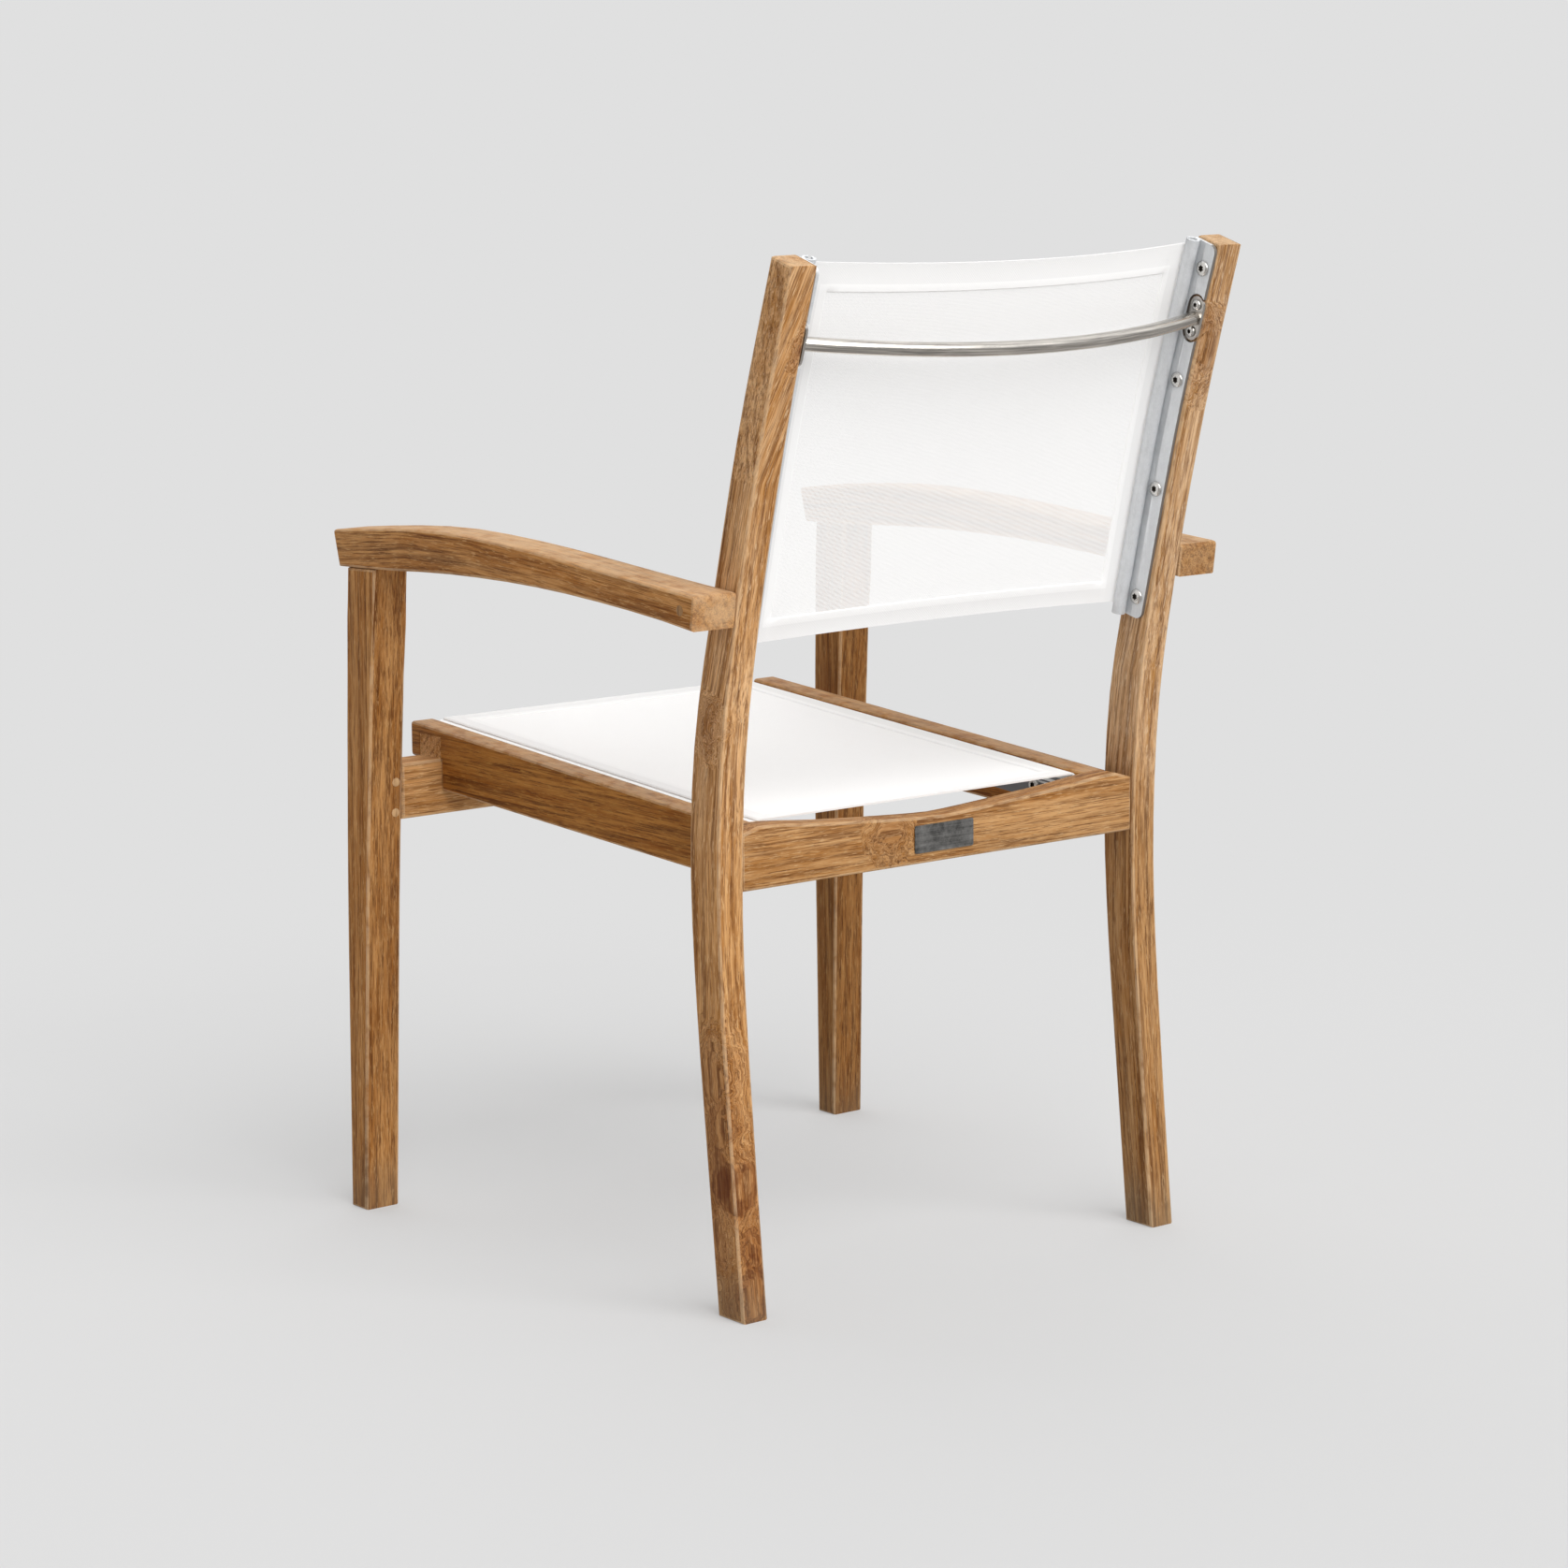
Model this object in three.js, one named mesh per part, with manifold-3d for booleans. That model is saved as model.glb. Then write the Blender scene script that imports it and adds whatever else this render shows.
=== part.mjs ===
// A stacking armchair for the patio: teak frame, aluminium tracks, two stretched slings.
// Millimetres, +Z up, the sitter faces -Y and the sitter's left is +X.
// While the pieces are made, y = 0 is the plane of the front legs' front faces at the floor.

import * as THREE from 'three';
import { mergeVertices } from 'three/addons/utils/BufferGeometryUtils.js';
import Module from 'manifold-3d';

const wasm = await Module();
wasm.setup();

// Driving dimensions of the whole chair
const armSpan = 570;
const seatHeight = 440;
const backRise = 443;
const armRise = 193;
const legToPost = 490.8;
const seatDrop = 30.6;

// Clearances and the one overrun that cuts share
const fit = 0.3;
const overrun = 2;
const edgeRound = 2.4;
const tangentReach = 0.5;

// Rear posts: side profile from the foot up
const postThick = 26.3;
const postDepth = 40;
const postSweep = 83.9;
const postTopDrop = 8;
const postHeightShares = [0, 0.166, 0.334, 0.445, 0.556, 0.69, 0.846, 1];
const postSetbackShares = [0, -0.182, -0.344, -0.38, -0.279, 0.046, 0.479, 1];
const postDepthShares = [0.855, 0.878, 0.925, 0.985, 0.972, 0.85, 0.8, 0.73];

// Front legs: side profile and splay
const legWidth = 35.6;
const legFootDepth = 24;
const legTopDepth = 44.2;
const legRake = 9.9;
const legSplay = 6.2;
const legHeightShares = [0, 0.25, 0.5, 0.75, 1];
const legSetbackShares = [0, 0.01, 0.09, 0.42, 1];
const legTenonWidth = 15;
const legTenonDepth = 26;
const legTenonLength = 16;

// Arms: side profile from the front end back
const armWidth = 41.3;
const armFlare = 3;
const armOverhang = 12.4;
const armUndercut = 9;
const armRearInset = 1;
const armRearSlant = 4;
const armDepth = 37.3;
const armCrown = 20.7;
const armTaper = 3.8;
const armRound = 2.4;
const armEndRound = 4;
const armLengthShares = [0, 0.15, 0.3, 0.45, 0.6, 0.75, 0.9, 1];
const armDropShares = [0.604, 0.227, 0.002, 0.053, 0.251, 0.541, 0.826, 1];
const armDepthShares = [0.877, 1, 0.989, 0.898, 0.796, 0.729, 0.729, 0.791];

// Seat rails
const railInset = 7.6;
const railThick = 24;
const railNoseLength = 14.5;
const railNoseDepth = 32;
const railFrontDepth = 55.4;
const railRearDepth = 47.2;
const railTenonThick = 12;
const railTenonHeight = 26;
const railTenonLength = 14;
const noseRound = 4;

// Front stretcher
const stretcherThick = 34;
const stretcherDrop = 29.5;
const stretcherHeight = 50.5;
const stretcherScoop = 5;
const lapStrip = 6.4;
const stretcherTenonThick = 14;
const stretcherTenonHeight = 44;
const stretcherTenonLength = 18;

// Rear rail
const rearRailThick = 25;
const rearRailInset = 2.4;
const rearRailLift = 1.6;
const rearRailHeight = 53.5;
const rearRailHollow = 14;
const rearRailSpanShares = [0, 0.1, 0.28, 0.6, 0.78, 0.9, 0.96, 1];
const rearRailRiseShares = [0, 0.06, 0.23, 0.59, 0.88, 1, 0.92, 0.62];
const rearTenonThick = 12;
const rearTenonHeight = 32;
const rearTenonLength = 17;

// Aluminium sling tracks: a flange with a slotted bead
const beadRadius = 6;
const boreRadius = 3.7;
const beadStandoff = 9;
const slotWidth = 2.6;
const backSlotAngle = Math.PI / 4;
const seatSlotAngle = Math.PI * 4 / 9;
const flangeThick = 3;
const flangeFront = 3.5;
const flangeRound = 7;
const ribDepth = 0.7;
const ribWidth = 1.8;
const ribSetback = 9.6;
const backFlangeTail = 22.8;
const backTrackRise = 111.5;
const backTrackTopGap = 3;
const backBeadInsetFoot = 7;
const backBeadInsetTop = 4.8;
const seatFlangeTail = 27.5;
const seatBeadInset = 8;
const seatTrackFrontGap = 2.5;
const seatTrackRearGap = 3.5;

// Slings and the keder rods that hold their edges
const clothThick = 0.9;
const hemThick = 1.7;
const hemStep = 0.5;
const sideHem = 20;
const bendRadius = 2;
const kederRadius = 3;
const backSlingFootGap = 9;
const backSlingTopGap = 5;
const backTopHem = 25;
const backFootHem = 20;
const backBowTop = 20;
const backBowFoot = 14;
const backHemRise = 9;
const seatSlingEndGap = 1.5;
const seatHem = 20;
const seatSag = 7;

// Brace bar behind the back and its end plates
const barRadius = 6;
const barDrop = 73.1;
const barDroop = 11.5;
const barBow = 38.2;
const plateLength = 39;
const plateWidth = 16;
const plateThick = 2.4;
const plateEdgeGap = 0.3;
const plateNotchGap = 2;
const plateScrewPitch = 23.8;

// Fasteners and plugs
const screwHeadRadius = 4.2;
const screwHeadHeight = 2.4;
const screwShankRadius = 1.8;
const screwLength = 14;
const screwHoleGap = 0.5;
const backScrewFootGap = 18.5;
const backScrewTopGap = 21;
const backScrewSetback = 13.4;
const seatScrewSetback = 15;
const seatScrewFrontGap = 60;
const dowelRadius = 4;
const dowelLength = 25;
const dowelInset = 6.7;
const dowelPitch = 28;
const dowelFootGap = 6.8;
const plugRadius = 4.4;
const plugDepth = 5;
const boltHeadRadius = 4.2;
const boltHeadHeight = 4;
const boltRadius = 2.5;
const boltLength = 38;

// Bare nameplate on the rear rail
const nameplateWidth = 65;
const nameplateHeight = 24;
const nameplateThick = 0.8;
const nameplateRise = 9.5;
const nameplateRound = 2;

// Facet counts
const roundSides = 8;
const barSides = 12;
const beadSteps = 8;
const curveSteps = 12;
const cornerSteps = 3;
const slingRows = 9;
const slingHalfSpans = 5;

// Finishes
const teak = new THREE.MeshStandardMaterial({ color: 0xb98a55, roughness: 0.62, metalness: 0 });
const teakEnd = new THREE.MeshStandardMaterial({ color: 0x9a6c3c, roughness: 0.7, metalness: 0 });
const aluminium = new THREE.MeshStandardMaterial({ color: 0xb9bec3, roughness: 0.4, metalness: 0.9 });
const steel = new THREE.MeshStandardMaterial({ color: 0x9d9994, roughness: 0.3, metalness: 1 });
const darkMetal = new THREE.MeshStandardMaterial({ color: 0x555c68, roughness: 0.45, metalness: 0.7 });
const mesh = new THREE.MeshStandardMaterial({ color: 0xf4f3f0, roughness: 0.8, metalness: 0 });
const cord = new THREE.MeshStandardMaterial({ color: 0xe8e8e6, roughness: 0.5, metalness: 0 });

const chair = new THREE.Group();

// Solids: merging, joining, cutting and mirroring

function closed(geometry) {
  geometry.deleteAttribute('normal');
  geometry.deleteAttribute('uv');
  return mergeVertices(geometry);
}

function solid(geometry) {
  const merged = closed(geometry);
  return new wasm.Manifold(new wasm.Mesh({
    numProp: 3,
    vertProperties: new Float32Array(merged.attributes.position.array),
    triVerts: new Uint32Array(merged.index.array),
  }));
}

function shaped(body, joined, removed) {
  let result = solid(body);
  for (const piece of joined) result = result.add(solid(piece));
  for (const piece of removed) result = result.subtract(solid(piece));
  const made = result.getMesh();
  const geometry = new THREE.BufferGeometry();
  geometry.setAttribute('position', new THREE.BufferAttribute(made.vertProperties, 3));
  geometry.setIndex(new THREE.BufferAttribute(made.triVerts, 1));
  return geometry;
}

function mirrored(geometry) {
  const copy = geometry.clone().applyMatrix4(new THREE.Matrix4().makeScale(-1, 1, 1));
  const index = copy.index.array;
  for (let i = 0; i < index.length; i += 3) {
    [index[i], index[i + 1]] = [index[i + 1], index[i]];
  }
  return copy;
}

function add(name, geometry, material) {
  const merged = closed(geometry.clone());
  merged.computeVertexNormals();
  const piece = new THREE.Mesh(merged, material);
  piece.name = name;
  chair.add(piece);
}

function addPair(name, leftGeometry, material, suffix = '') {
  const merged = closed(leftGeometry.clone());
  add(`${name}_left${suffix}`, merged, material);
  add(`${name}_right${suffix}`, mirrored(merged), material);
}

// Box between two corners
function block(x0, x1, y0, y1, z0, z1) {
  const box = new THREE.BoxGeometry(x1 - x0, y1 - y0, z1 - z0);
  return box.translate((x0 + x1) / 2, (y0 + y1) / 2, (z0 + z1) / 2);
}

// Round bar along X or Y that starts at a place and runs by a signed length
function barAlongX(radius, x, y, z, length) {
  const bar = new THREE.CylinderGeometry(radius, radius, Math.abs(length), roundSides);
  return bar.rotateZ(Math.PI / 2).translate(x + length / 2, y, z);
}

function barAlongY(radius, x, y, z, length) {
  const bar = new THREE.CylinderGeometry(radius, radius, Math.abs(length), roundSides);
  return bar.translate(0, length / 2, 0).translate(x, y, z);
}

// Side profile (y, z) spread along X from x0 to x1, with rounded long edges
function sideExtrusion(outline, x0, x1, round) {
  const geometry = new THREE.ExtrudeGeometry(new THREE.Shape(outline), {
    depth: x1 - x0 - 2 * round,
    bevelEnabled: round > 0,
    bevelThickness: round,
    bevelSize: round,
    bevelOffset: -round,
    bevelSegments: 2,
  });
  const turn = new THREE.Matrix4().makeBasis(
    new THREE.Vector3(0, 1, 0), new THREE.Vector3(0, 0, 1), new THREE.Vector3(1, 0, 0));
  return geometry.applyMatrix4(turn).translate(x0 + round, 0, 0);
}

// Front profile (x, z) spread along Y from its rear face at y1 forward to y0
function frontExtrusion(outline, y0, y1, round) {
  const geometry = new THREE.ExtrudeGeometry(new THREE.Shape(outline), {
    depth: y1 - y0 - 2 * round,
    bevelEnabled: round > 0,
    bevelThickness: round,
    bevelSize: round,
    bevelOffset: -round,
    bevelSegments: 2,
  });
  const turn = new THREE.Matrix4().makeBasis(
    new THREE.Vector3(1, 0, 0), new THREE.Vector3(0, 0, 1), new THREE.Vector3(0, -1, 0));
  return geometry.applyMatrix4(turn).translate(0, y1 - round, 0);
}

// Lines through a table of shares, smooth between them
function smooth(places, values, place) {
  const last = places.length - 1;
  let i = 0;
  while (i < last - 1 && place > places[i + 1]) i += 1;
  const slope = (k) => {
    const before = Math.max(k - 1, 0);
    const after = Math.min(k + 1, last);
    return (values[after] - values[before]) / (places[after] - places[before]);
  };
  const span = places[i + 1] - places[i];
  const t = (place - places[i]) / span;
  const rise = values[i + 1] - values[i];
  const startBend = slope(i) * span - rise;
  const endBend = rise - slope(i + 1) * span;
  return values[i] + t * rise + t * (1 - t) * ((1 - t) * startBend + t * endBend);
}

// Outline with the sharp corners of chosen points turned into arcs
function softened(points, radii) {
  const outline = [];
  points.forEach((corner, i) => {
    if (!radii[i]) {
      outline.push(corner);
      return;
    }
    const before = points[(i + points.length - 1) % points.length];
    const after = points[(i + 1) % points.length];
    const start = corner.clone().add(before.clone().sub(corner).setLength(radii[i]));
    const end = corner.clone().add(after.clone().sub(corner).setLength(radii[i]));
    const arc = new THREE.QuadraticBezierCurve(start, corner, end);
    outline.push(...arc.getPoints(cornerSteps));
  });
  return outline;
}

const at = (x, y) => new THREE.Vector2(x, y);

// Heights and widths that follow from the driving dimensions
const backHeight = seatHeight + backRise;
const armHeight = seatHeight + armRise;
const barHeight = backHeight - barDrop;
const backTrackFoot = seatHeight + backTrackRise;
const stretcherTop = seatHeight - stretcherDrop;
const stretcherFoot = stretcherTop - stretcherHeight;
const rearRailTop = seatHeight - seatDrop + rearRailLift;
const rearRailFoot = rearRailTop - rearRailHeight;
const armOuter = armSpan / 2;
const armInner = armOuter - armWidth;
const postOuter = armInner - fit;
const postInner = postOuter - postThick;

// Lines of the rear posts
const postFront = (z) => legToPost + postSweep * smooth(postHeightShares, postSetbackShares, z / backHeight);
const postRear = (z) => postFront(z) + postDepth * smooth(postHeightShares, postDepthShares, z / backHeight);
const postMiddle = (z) => (postFront(z) + postRear(z)) / 2;

// Lines of the arms, from the front end to the rear faces of the posts
const armFront = -armOverhang;
const armRear = postRear(armHeight - armCrown) - armRearInset;
const armLength = armRear - armFront;
const armTop = (y) => armHeight - armCrown * smooth(armLengthShares, armDropShares, (y - armFront) / armLength);
const armBottom = (y) => armTop(y) - armDepth * smooth(armLengthShares, armDepthShares, (y - armFront) / armLength);

// Lines of the front legs
const legTop = armBottom(legRake + legTopDepth / 2) - fit;
const legFront = (z) => legRake * smooth(legHeightShares, legSetbackShares, z / legTop);
const legRear = (z) => legFront(z) + THREE.MathUtils.lerp(legFootDepth, legTopDepth, z / legTop);
const legSpread = (z) => legSplay * (1 - z / legTop);
const legInner = (z) => armOuter - legWidth + legSpread(z);

// Stretcher and seat rails cross at the front
const stretcherMiddle = (stretcherFoot + stretcherTop) / 2;
const stretcherRear = legRear(stretcherMiddle);
const stretcherFront = stretcherRear - stretcherThick;
const railOuter = postInner - railInset;
const railInner = railOuter - railThick;
const railFront = stretcherFront - railNoseLength;
const rearRailMiddle = (rearRailFoot + rearRailTop) / 2;
const rearRailRear = postRear(rearRailMiddle) - rearRailInset;
const rearRailFront = rearRailRear - rearRailThick;
const railRear = rearRailFront - fit;
const railLength = railRear - railFront;
const railTop = (y) => seatHeight - seatDrop * (y - railFront) / railLength;
const lapCeiling = railTop(stretcherRear) - lapStrip;
const seatTurn = Math.atan2(seatDrop, railLength);

// Sling tracks: the bead's centre line on the posts and on the rails
const backTrackTop = backHeight - backTrackTopGap;
const backTrackShare = (z) => (z - backTrackFoot) / (backTrackTop - backTrackFoot);
const backBead = (z) => postFront(z)
  + THREE.MathUtils.lerp(backBeadInsetFoot, backBeadInsetTop, backTrackShare(z));
const seatTrackFront = railFront + seatTrackFrontGap;
const seatTrackRear = railRear - seatTrackRearGap;
const seatBead = (y) => railTop(y) - seatBeadInset / Math.cos(seatTurn);

// Path of a bead's centre line at x = 0, and the same path over a shorter stretch
function backPath(z0, z1) {
  const points = [];
  for (let i = 0; i <= curveSteps; i += 1) {
    const z = THREE.MathUtils.lerp(z0, z1, i / curveSteps);
    points.push(new THREE.Vector3(0, backBead(z), z));
  }
  return new THREE.CatmullRomCurve3(points);
}

function seatPath(y0, y1) {
  return new THREE.LineCurve3(
    new THREE.Vector3(0, y0, seatBead(y0)), new THREE.Vector3(0, y1, seatBead(y1)));
}

// Arc of points round the bead's centre, from one angle to another
function beadArc(radius, from, to, steps) {
  const points = [];
  for (let i = 0; i <= steps; i += 1) {
    const angle = THREE.MathUtils.lerp(from, to, i / steps);
    points.push(at(beadStandoff + radius * Math.cos(angle), radius * Math.sin(angle)));
  }
  return points;
}

// Section of a track: x runs inward from the wood, y runs to the sling's side
function trackSection(tail, slotAngle) {
  const near = fit;
  const far = fit + flangeThick;
  const meet = Math.acos((beadStandoff - far) / beadRadius);
  const outerHalf = Math.asin(slotWidth / 2 / beadRadius);
  const innerHalf = Math.asin(slotWidth / 2 / boreRadius);
  const full = 2 * Math.PI;
  return new THREE.Shape([
    at(near, flangeFront),
    at(near, -tail),
    at(far, -tail),
    at(far, -ribSetback - ribWidth),
    at(far + ribDepth, -ribSetback - ribWidth / 2),
    at(far, -ribSetback),
    ...beadArc(beadRadius, Math.PI + meet, full + slotAngle - outerHalf, beadSteps),
    ...beadArc(boreRadius, full + slotAngle - innerHalf, slotAngle + innerHalf, beadSteps),
    ...beadArc(beadRadius, slotAngle + outerHalf, Math.PI - meet, beadSteps / 2),
    at(far, flangeFront),
  ]);
}

// Extrusion of a section along a path, set off from a wooden face at x
function runAlong(shape, path, steps, x) {
  const geometry = new THREE.ExtrudeGeometry(shape, { extrudePath: path, steps, curveSegments: 2 });
  return geometry.translate(x, 0, 0);
}

function roundSection(radius, x, sides) {
  const points = [];
  for (let i = 0; i < sides; i += 1) {
    const angle = 2 * Math.PI * i / sides;
    points.push(at(x + radius * Math.cos(angle), radius * Math.sin(angle)));
  }
  return new THREE.Shape(points);
}

// Tool that rounds a flange's rear corner where the track ends: a square less a disc
function cornerTool(x, corner, alongTrack, acrossTrack) {
  const centre = corner.clone()
    .addScaledVector(alongTrack, flangeRound)
    .addScaledVector(acrossTrack, flangeRound);
  const square = corner.clone().lerp(centre, 0.5);
  const reach = beadStandoff - beadRadius + flangeThick;
  const spin = Math.atan2(alongTrack.z, alongTrack.y);
  const cube = new THREE.BoxGeometry(reach, flangeRound + overrun, flangeRound + overrun)
    .rotateX(spin)
    .translate(0, square.y, square.z)
    .translate(0, -(alongTrack.y + acrossTrack.y) * overrun / 2, -(alongTrack.z + acrossTrack.z) * overrun / 2);
  const disc = new THREE.CylinderGeometry(flangeRound, flangeRound, reach + overrun, 4 * roundSides)
    .rotateZ(Math.PI / 2)
    .translate(0, centre.y, centre.z);
  return shaped(cube, [], [disc]).translate(x - reach / 2, 0, 0);
}

// Screws: a domed head inward of x = 0 and a plain shank that runs along +X from it
function screwShape(length) {
  const outline = [
    at(0, -length),
    at(screwShankRadius / 2, -length),
    at(screwShankRadius, -length + screwShankRadius),
    at(screwShankRadius, 0),
    at(screwHeadRadius, 0),
    at(screwHeadRadius, screwHeadHeight / 3),
    at(screwHeadRadius * 2 / 3, screwHeadHeight),
    at(0, screwHeadHeight),
  ];
  return closed(new THREE.LatheGeometry(outline, roundSides)).rotateZ(Math.PI / 2);
}

// A screw's hole, from the seat of its head into the wood
function screwHole(seat, y, z, length) {
  return barAlongX(screwShankRadius + screwHoleGap, seat - overrun, y, z, length + 2 * overrun);
}

// Flat spot cut through a track's rib under a screw's head
function spotFace(seat, y, z) {
  return barAlongX(screwHeadRadius + fit, seat, y, z, -ribDepth - overrun);
}

// Places of the screws on the tracks and brace plates
const flangeSeat = postInner - fit - flangeThick;
const railSeat = railInner - fit - flangeThick;
const screwNumbers = [1, 2, 3, 4];
const backTrackPath = backPath(backTrackFoot, backTrackTop);
const backTangent = (z) => new THREE.Vector3(
  0, backBead(z + tangentReach) - backBead(z - tangentReach), 2 * tangentReach).normalize();
const rearward = (tangent) => new THREE.Vector3(0, tangent.z, -tangent.y);
const seatTangent = new THREE.Vector3(0, Math.cos(seatTurn), -Math.sin(seatTurn));
const seatDown = new THREE.Vector3(0, -Math.sin(seatTurn), -Math.cos(seatTurn));

const backScrews = screwNumbers.map((number) => {
  const foot = backTrackFoot + backScrewFootGap;
  const run = backTrackTop - backScrewTopGap - foot;
  const z = foot + run * (number - 1) / (screwNumbers.length - 1);
  return new THREE.Vector3(0, backBead(z), z).addScaledVector(rearward(backTangent(z)), backScrewSetback);
});
const seatScrews = screwNumbers.map((number) => {
  const run = seatTrackRear - seatTrackFront - 2 * seatScrewFrontGap;
  const y = seatTrackFront + seatScrewFrontGap + run * (number - 1) / (screwNumbers.length - 1);
  return new THREE.Vector3(0, y, seatBead(y)).addScaledVector(seatDown, seatScrewSetback);
});

const plateTangent = backTangent(barHeight);
const plateBack = plateWidth / 2 + plateEdgeGap;
const plateCentre = new THREE.Vector3(0, postRear(barHeight), barHeight)
  .addScaledVector(rearward(plateTangent), -plateBack);
const plateFace = postInner - fit - plateThick;
const plateScrews = [1, -1].map((side) => plateCentre.clone()
  .addScaledVector(plateTangent, side * plateScrewPitch / 2));

// Oval plate outline in the side view, leaning with the post
function plateOutline(length, width) {
  const points = [];
  const straight = (length - width) / 2;
  for (const end of [1, -1]) {
    for (let i = 0; i <= beadSteps; i += 1) {
      const angle = Math.PI * i / beadSteps;
      const across = end * Math.cos(angle) * width / 2;
      const along = end * (straight + Math.sin(angle) * width / 2);
      const place = plateCentre.clone()
        .addScaledVector(plateTangent, along)
        .addScaledVector(rearward(plateTangent), across);
      points.push(at(place.y, place.z));
    }
  }
  return points;
}

// Arm fixing: a bolt under a plug, through the arm into the post
const boltY = postMiddle((armTop(armRear) + armBottom(armRear)) / 2);
const boltZ = (armTop(boltY) + armBottom(boltY)) / 2;
const armSide = (y) => armOuter + armFlare * (y - armFront) / armLength;
const boltSeat = armOuter - plugDepth - fit - boltHeadHeight;

// Rear posts
const rearTenonMiddle = (rearRailFront + rearRailRear) / 2;
const rearTenonFoot = rearRailMiddle - rearTenonHeight / 2;

function rearPost() {
  const levels = [];
  const divisions = 2 * curveSteps;
  for (let i = 0; i <= divisions; i += 1) levels.push(i / divisions);
  const front = levels.map((share) => at(postFront(share * backHeight), share * backHeight));
  const rearTop = backHeight - postTopDrop;
  const rear = levels.map((share) => at(postRear(share * rearTop), share * rearTop));
  const outline = [...rear, ...front.reverse()];
  const body = sideExtrusion(outline, postInner, postOuter, edgeRound);
  const mortise = block(
    postInner - overrun, postInner + rearTenonLength + fit,
    rearTenonMiddle - rearTenonThick / 2 - fit, rearTenonMiddle + rearTenonThick / 2 + fit,
    rearTenonFoot - fit, rearTenonFoot + rearTenonHeight + fit);
  const holes = [...backScrews, ...plateScrews]
    .map((place) => screwHole(postInner, place.y, place.z, screwLength - flangeThick));
  const boltHole = barAlongX(
    boltRadius + fit, postOuter + overrun, boltY, boltZ, boltSeat - boltLength - fit - postOuter - overrun);
  return shaped(body, [], [mortise, boltHole, ...holes]);
}

addPair('rear_post', rearPost(), teak);

// Front legs
const tenonX = armOuter - legWidth / 2;
const tenonY = legRake + legTopDepth / 2;
const dowelHeights = [stretcherFoot + dowelFootGap, stretcherFoot + dowelFootGap + dowelPitch];
const dowelPlaces = dowelHeights.map((z) => at(legInner(z) + dowelInset, z));
const stretcherTenonMiddle = (stretcherFront + stretcherRear) / 2;
const stretcherTenonFoot = stretcherMiddle - stretcherTenonHeight / 2;

function splayed(geometry) {
  const place = geometry.attributes.position;
  for (let i = 0; i < place.count; i += 1) {
    place.setX(i, place.getX(i) + legSpread(place.getZ(i)));
  }
  return geometry;
}

function frontLeg() {
  const levels = [];
  for (let i = 0; i <= curveSteps; i += 1) levels.push(i / curveSteps);
  const shoulder = (y) => armBottom(y) - fit;
  const front = levels.map((share) => at(legFront(share * legTop), share * shoulder(legFront(legTop))));
  const rear = levels.map((share) => at(legRear(share * legTop), share * shoulder(legRear(legTop))));
  const outline = [...rear, ...front.reverse()];
  const body = splayed(sideExtrusion(outline, armOuter - legWidth, armOuter, edgeRound));
  const tenon = block(
    tenonX - legTenonWidth / 2, tenonX + legTenonWidth / 2,
    tenonY - legTenonDepth / 2, tenonY + legTenonDepth / 2,
    legTop - overrun, legTop + legTenonLength);
  const mortise = block(
    legInner(stretcherTop) - overrun, legInner(stretcherTop) + stretcherTenonLength + fit,
    stretcherTenonMiddle - stretcherTenonThick / 2 - fit, stretcherTenonMiddle + stretcherTenonThick / 2 + fit,
    stretcherTenonFoot - fit, stretcherTenonFoot + stretcherTenonHeight + fit);
  const holes = dowelPlaces.map((place) => barAlongY(
    dowelRadius + fit, place.x, legRear(place.y) + overrun, place.y, -dowelLength - overrun - fit));
  return shaped(body, [tenon], [mortise, ...holes]);
}

addPair('front_leg', frontLeg(), teak);

// Arms
function flared(geometry) {
  const place = geometry.attributes.position;
  for (let i = 0; i < place.count; i += 1) {
    const back = (place.getY(i) - armFront) / armLength;
    const outward = (place.getX(i) - armInner) / armWidth;
    const narrowing = armTaper * (1 - back) * (1 - outward);
    place.setX(i, place.getX(i) + narrowing + armFlare * back * outward);
  }
  return geometry;
}

function arm() {
  const levels = [];
  for (let i = 0; i <= curveSteps; i += 1) levels.push(i / curveSteps);
  const topLine = levels.map((share) => armFront + share * armLength);
  const bottomStart = armFront + armUndercut;
  const bottomLine = levels.map((share) => bottomStart + share * (armRear - armRearSlant - bottomStart));
  const top = topLine.map((y) => at(y, armTop(y))).reverse();
  const bottom = bottomLine.map((y) => at(y, armBottom(y)));
  const points = [...bottom, ...top];
  const radii = points.map((point, i) => (i === curveSteps + 1 || i === points.length - 1 ? armEndRound : 0));
  const body = flared(sideExtrusion(softened(points, radii), armInner, armOuter, armRound));
  const mortise = block(
    tenonX - legTenonWidth / 2 - fit, tenonX + legTenonWidth / 2 + fit,
    tenonY - legTenonDepth / 2 - fit, tenonY + legTenonDepth / 2 + fit,
    legTop - overrun, legTop + legTenonLength + fit);
  const boltHole = barAlongX(boltRadius + fit, armInner - overrun, boltY, boltZ, armOuter - armInner);
  const counterbore = barAlongX(
    plugRadius + fit, boltSeat - fit, boltY, boltZ, armSide(boltY) - boltSeat + 2 * overrun);
  return shaped(body, [], [mortise, boltHole, counterbore]);
}

addPair('arm', arm(), teak);

// Seat rails, halved over the stretcher
const railTenonFoot = railTop(railRear) - (railRearDepth + railTenonHeight) / 2;
const railMiddleX = (railInner + railOuter) / 2;

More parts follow.
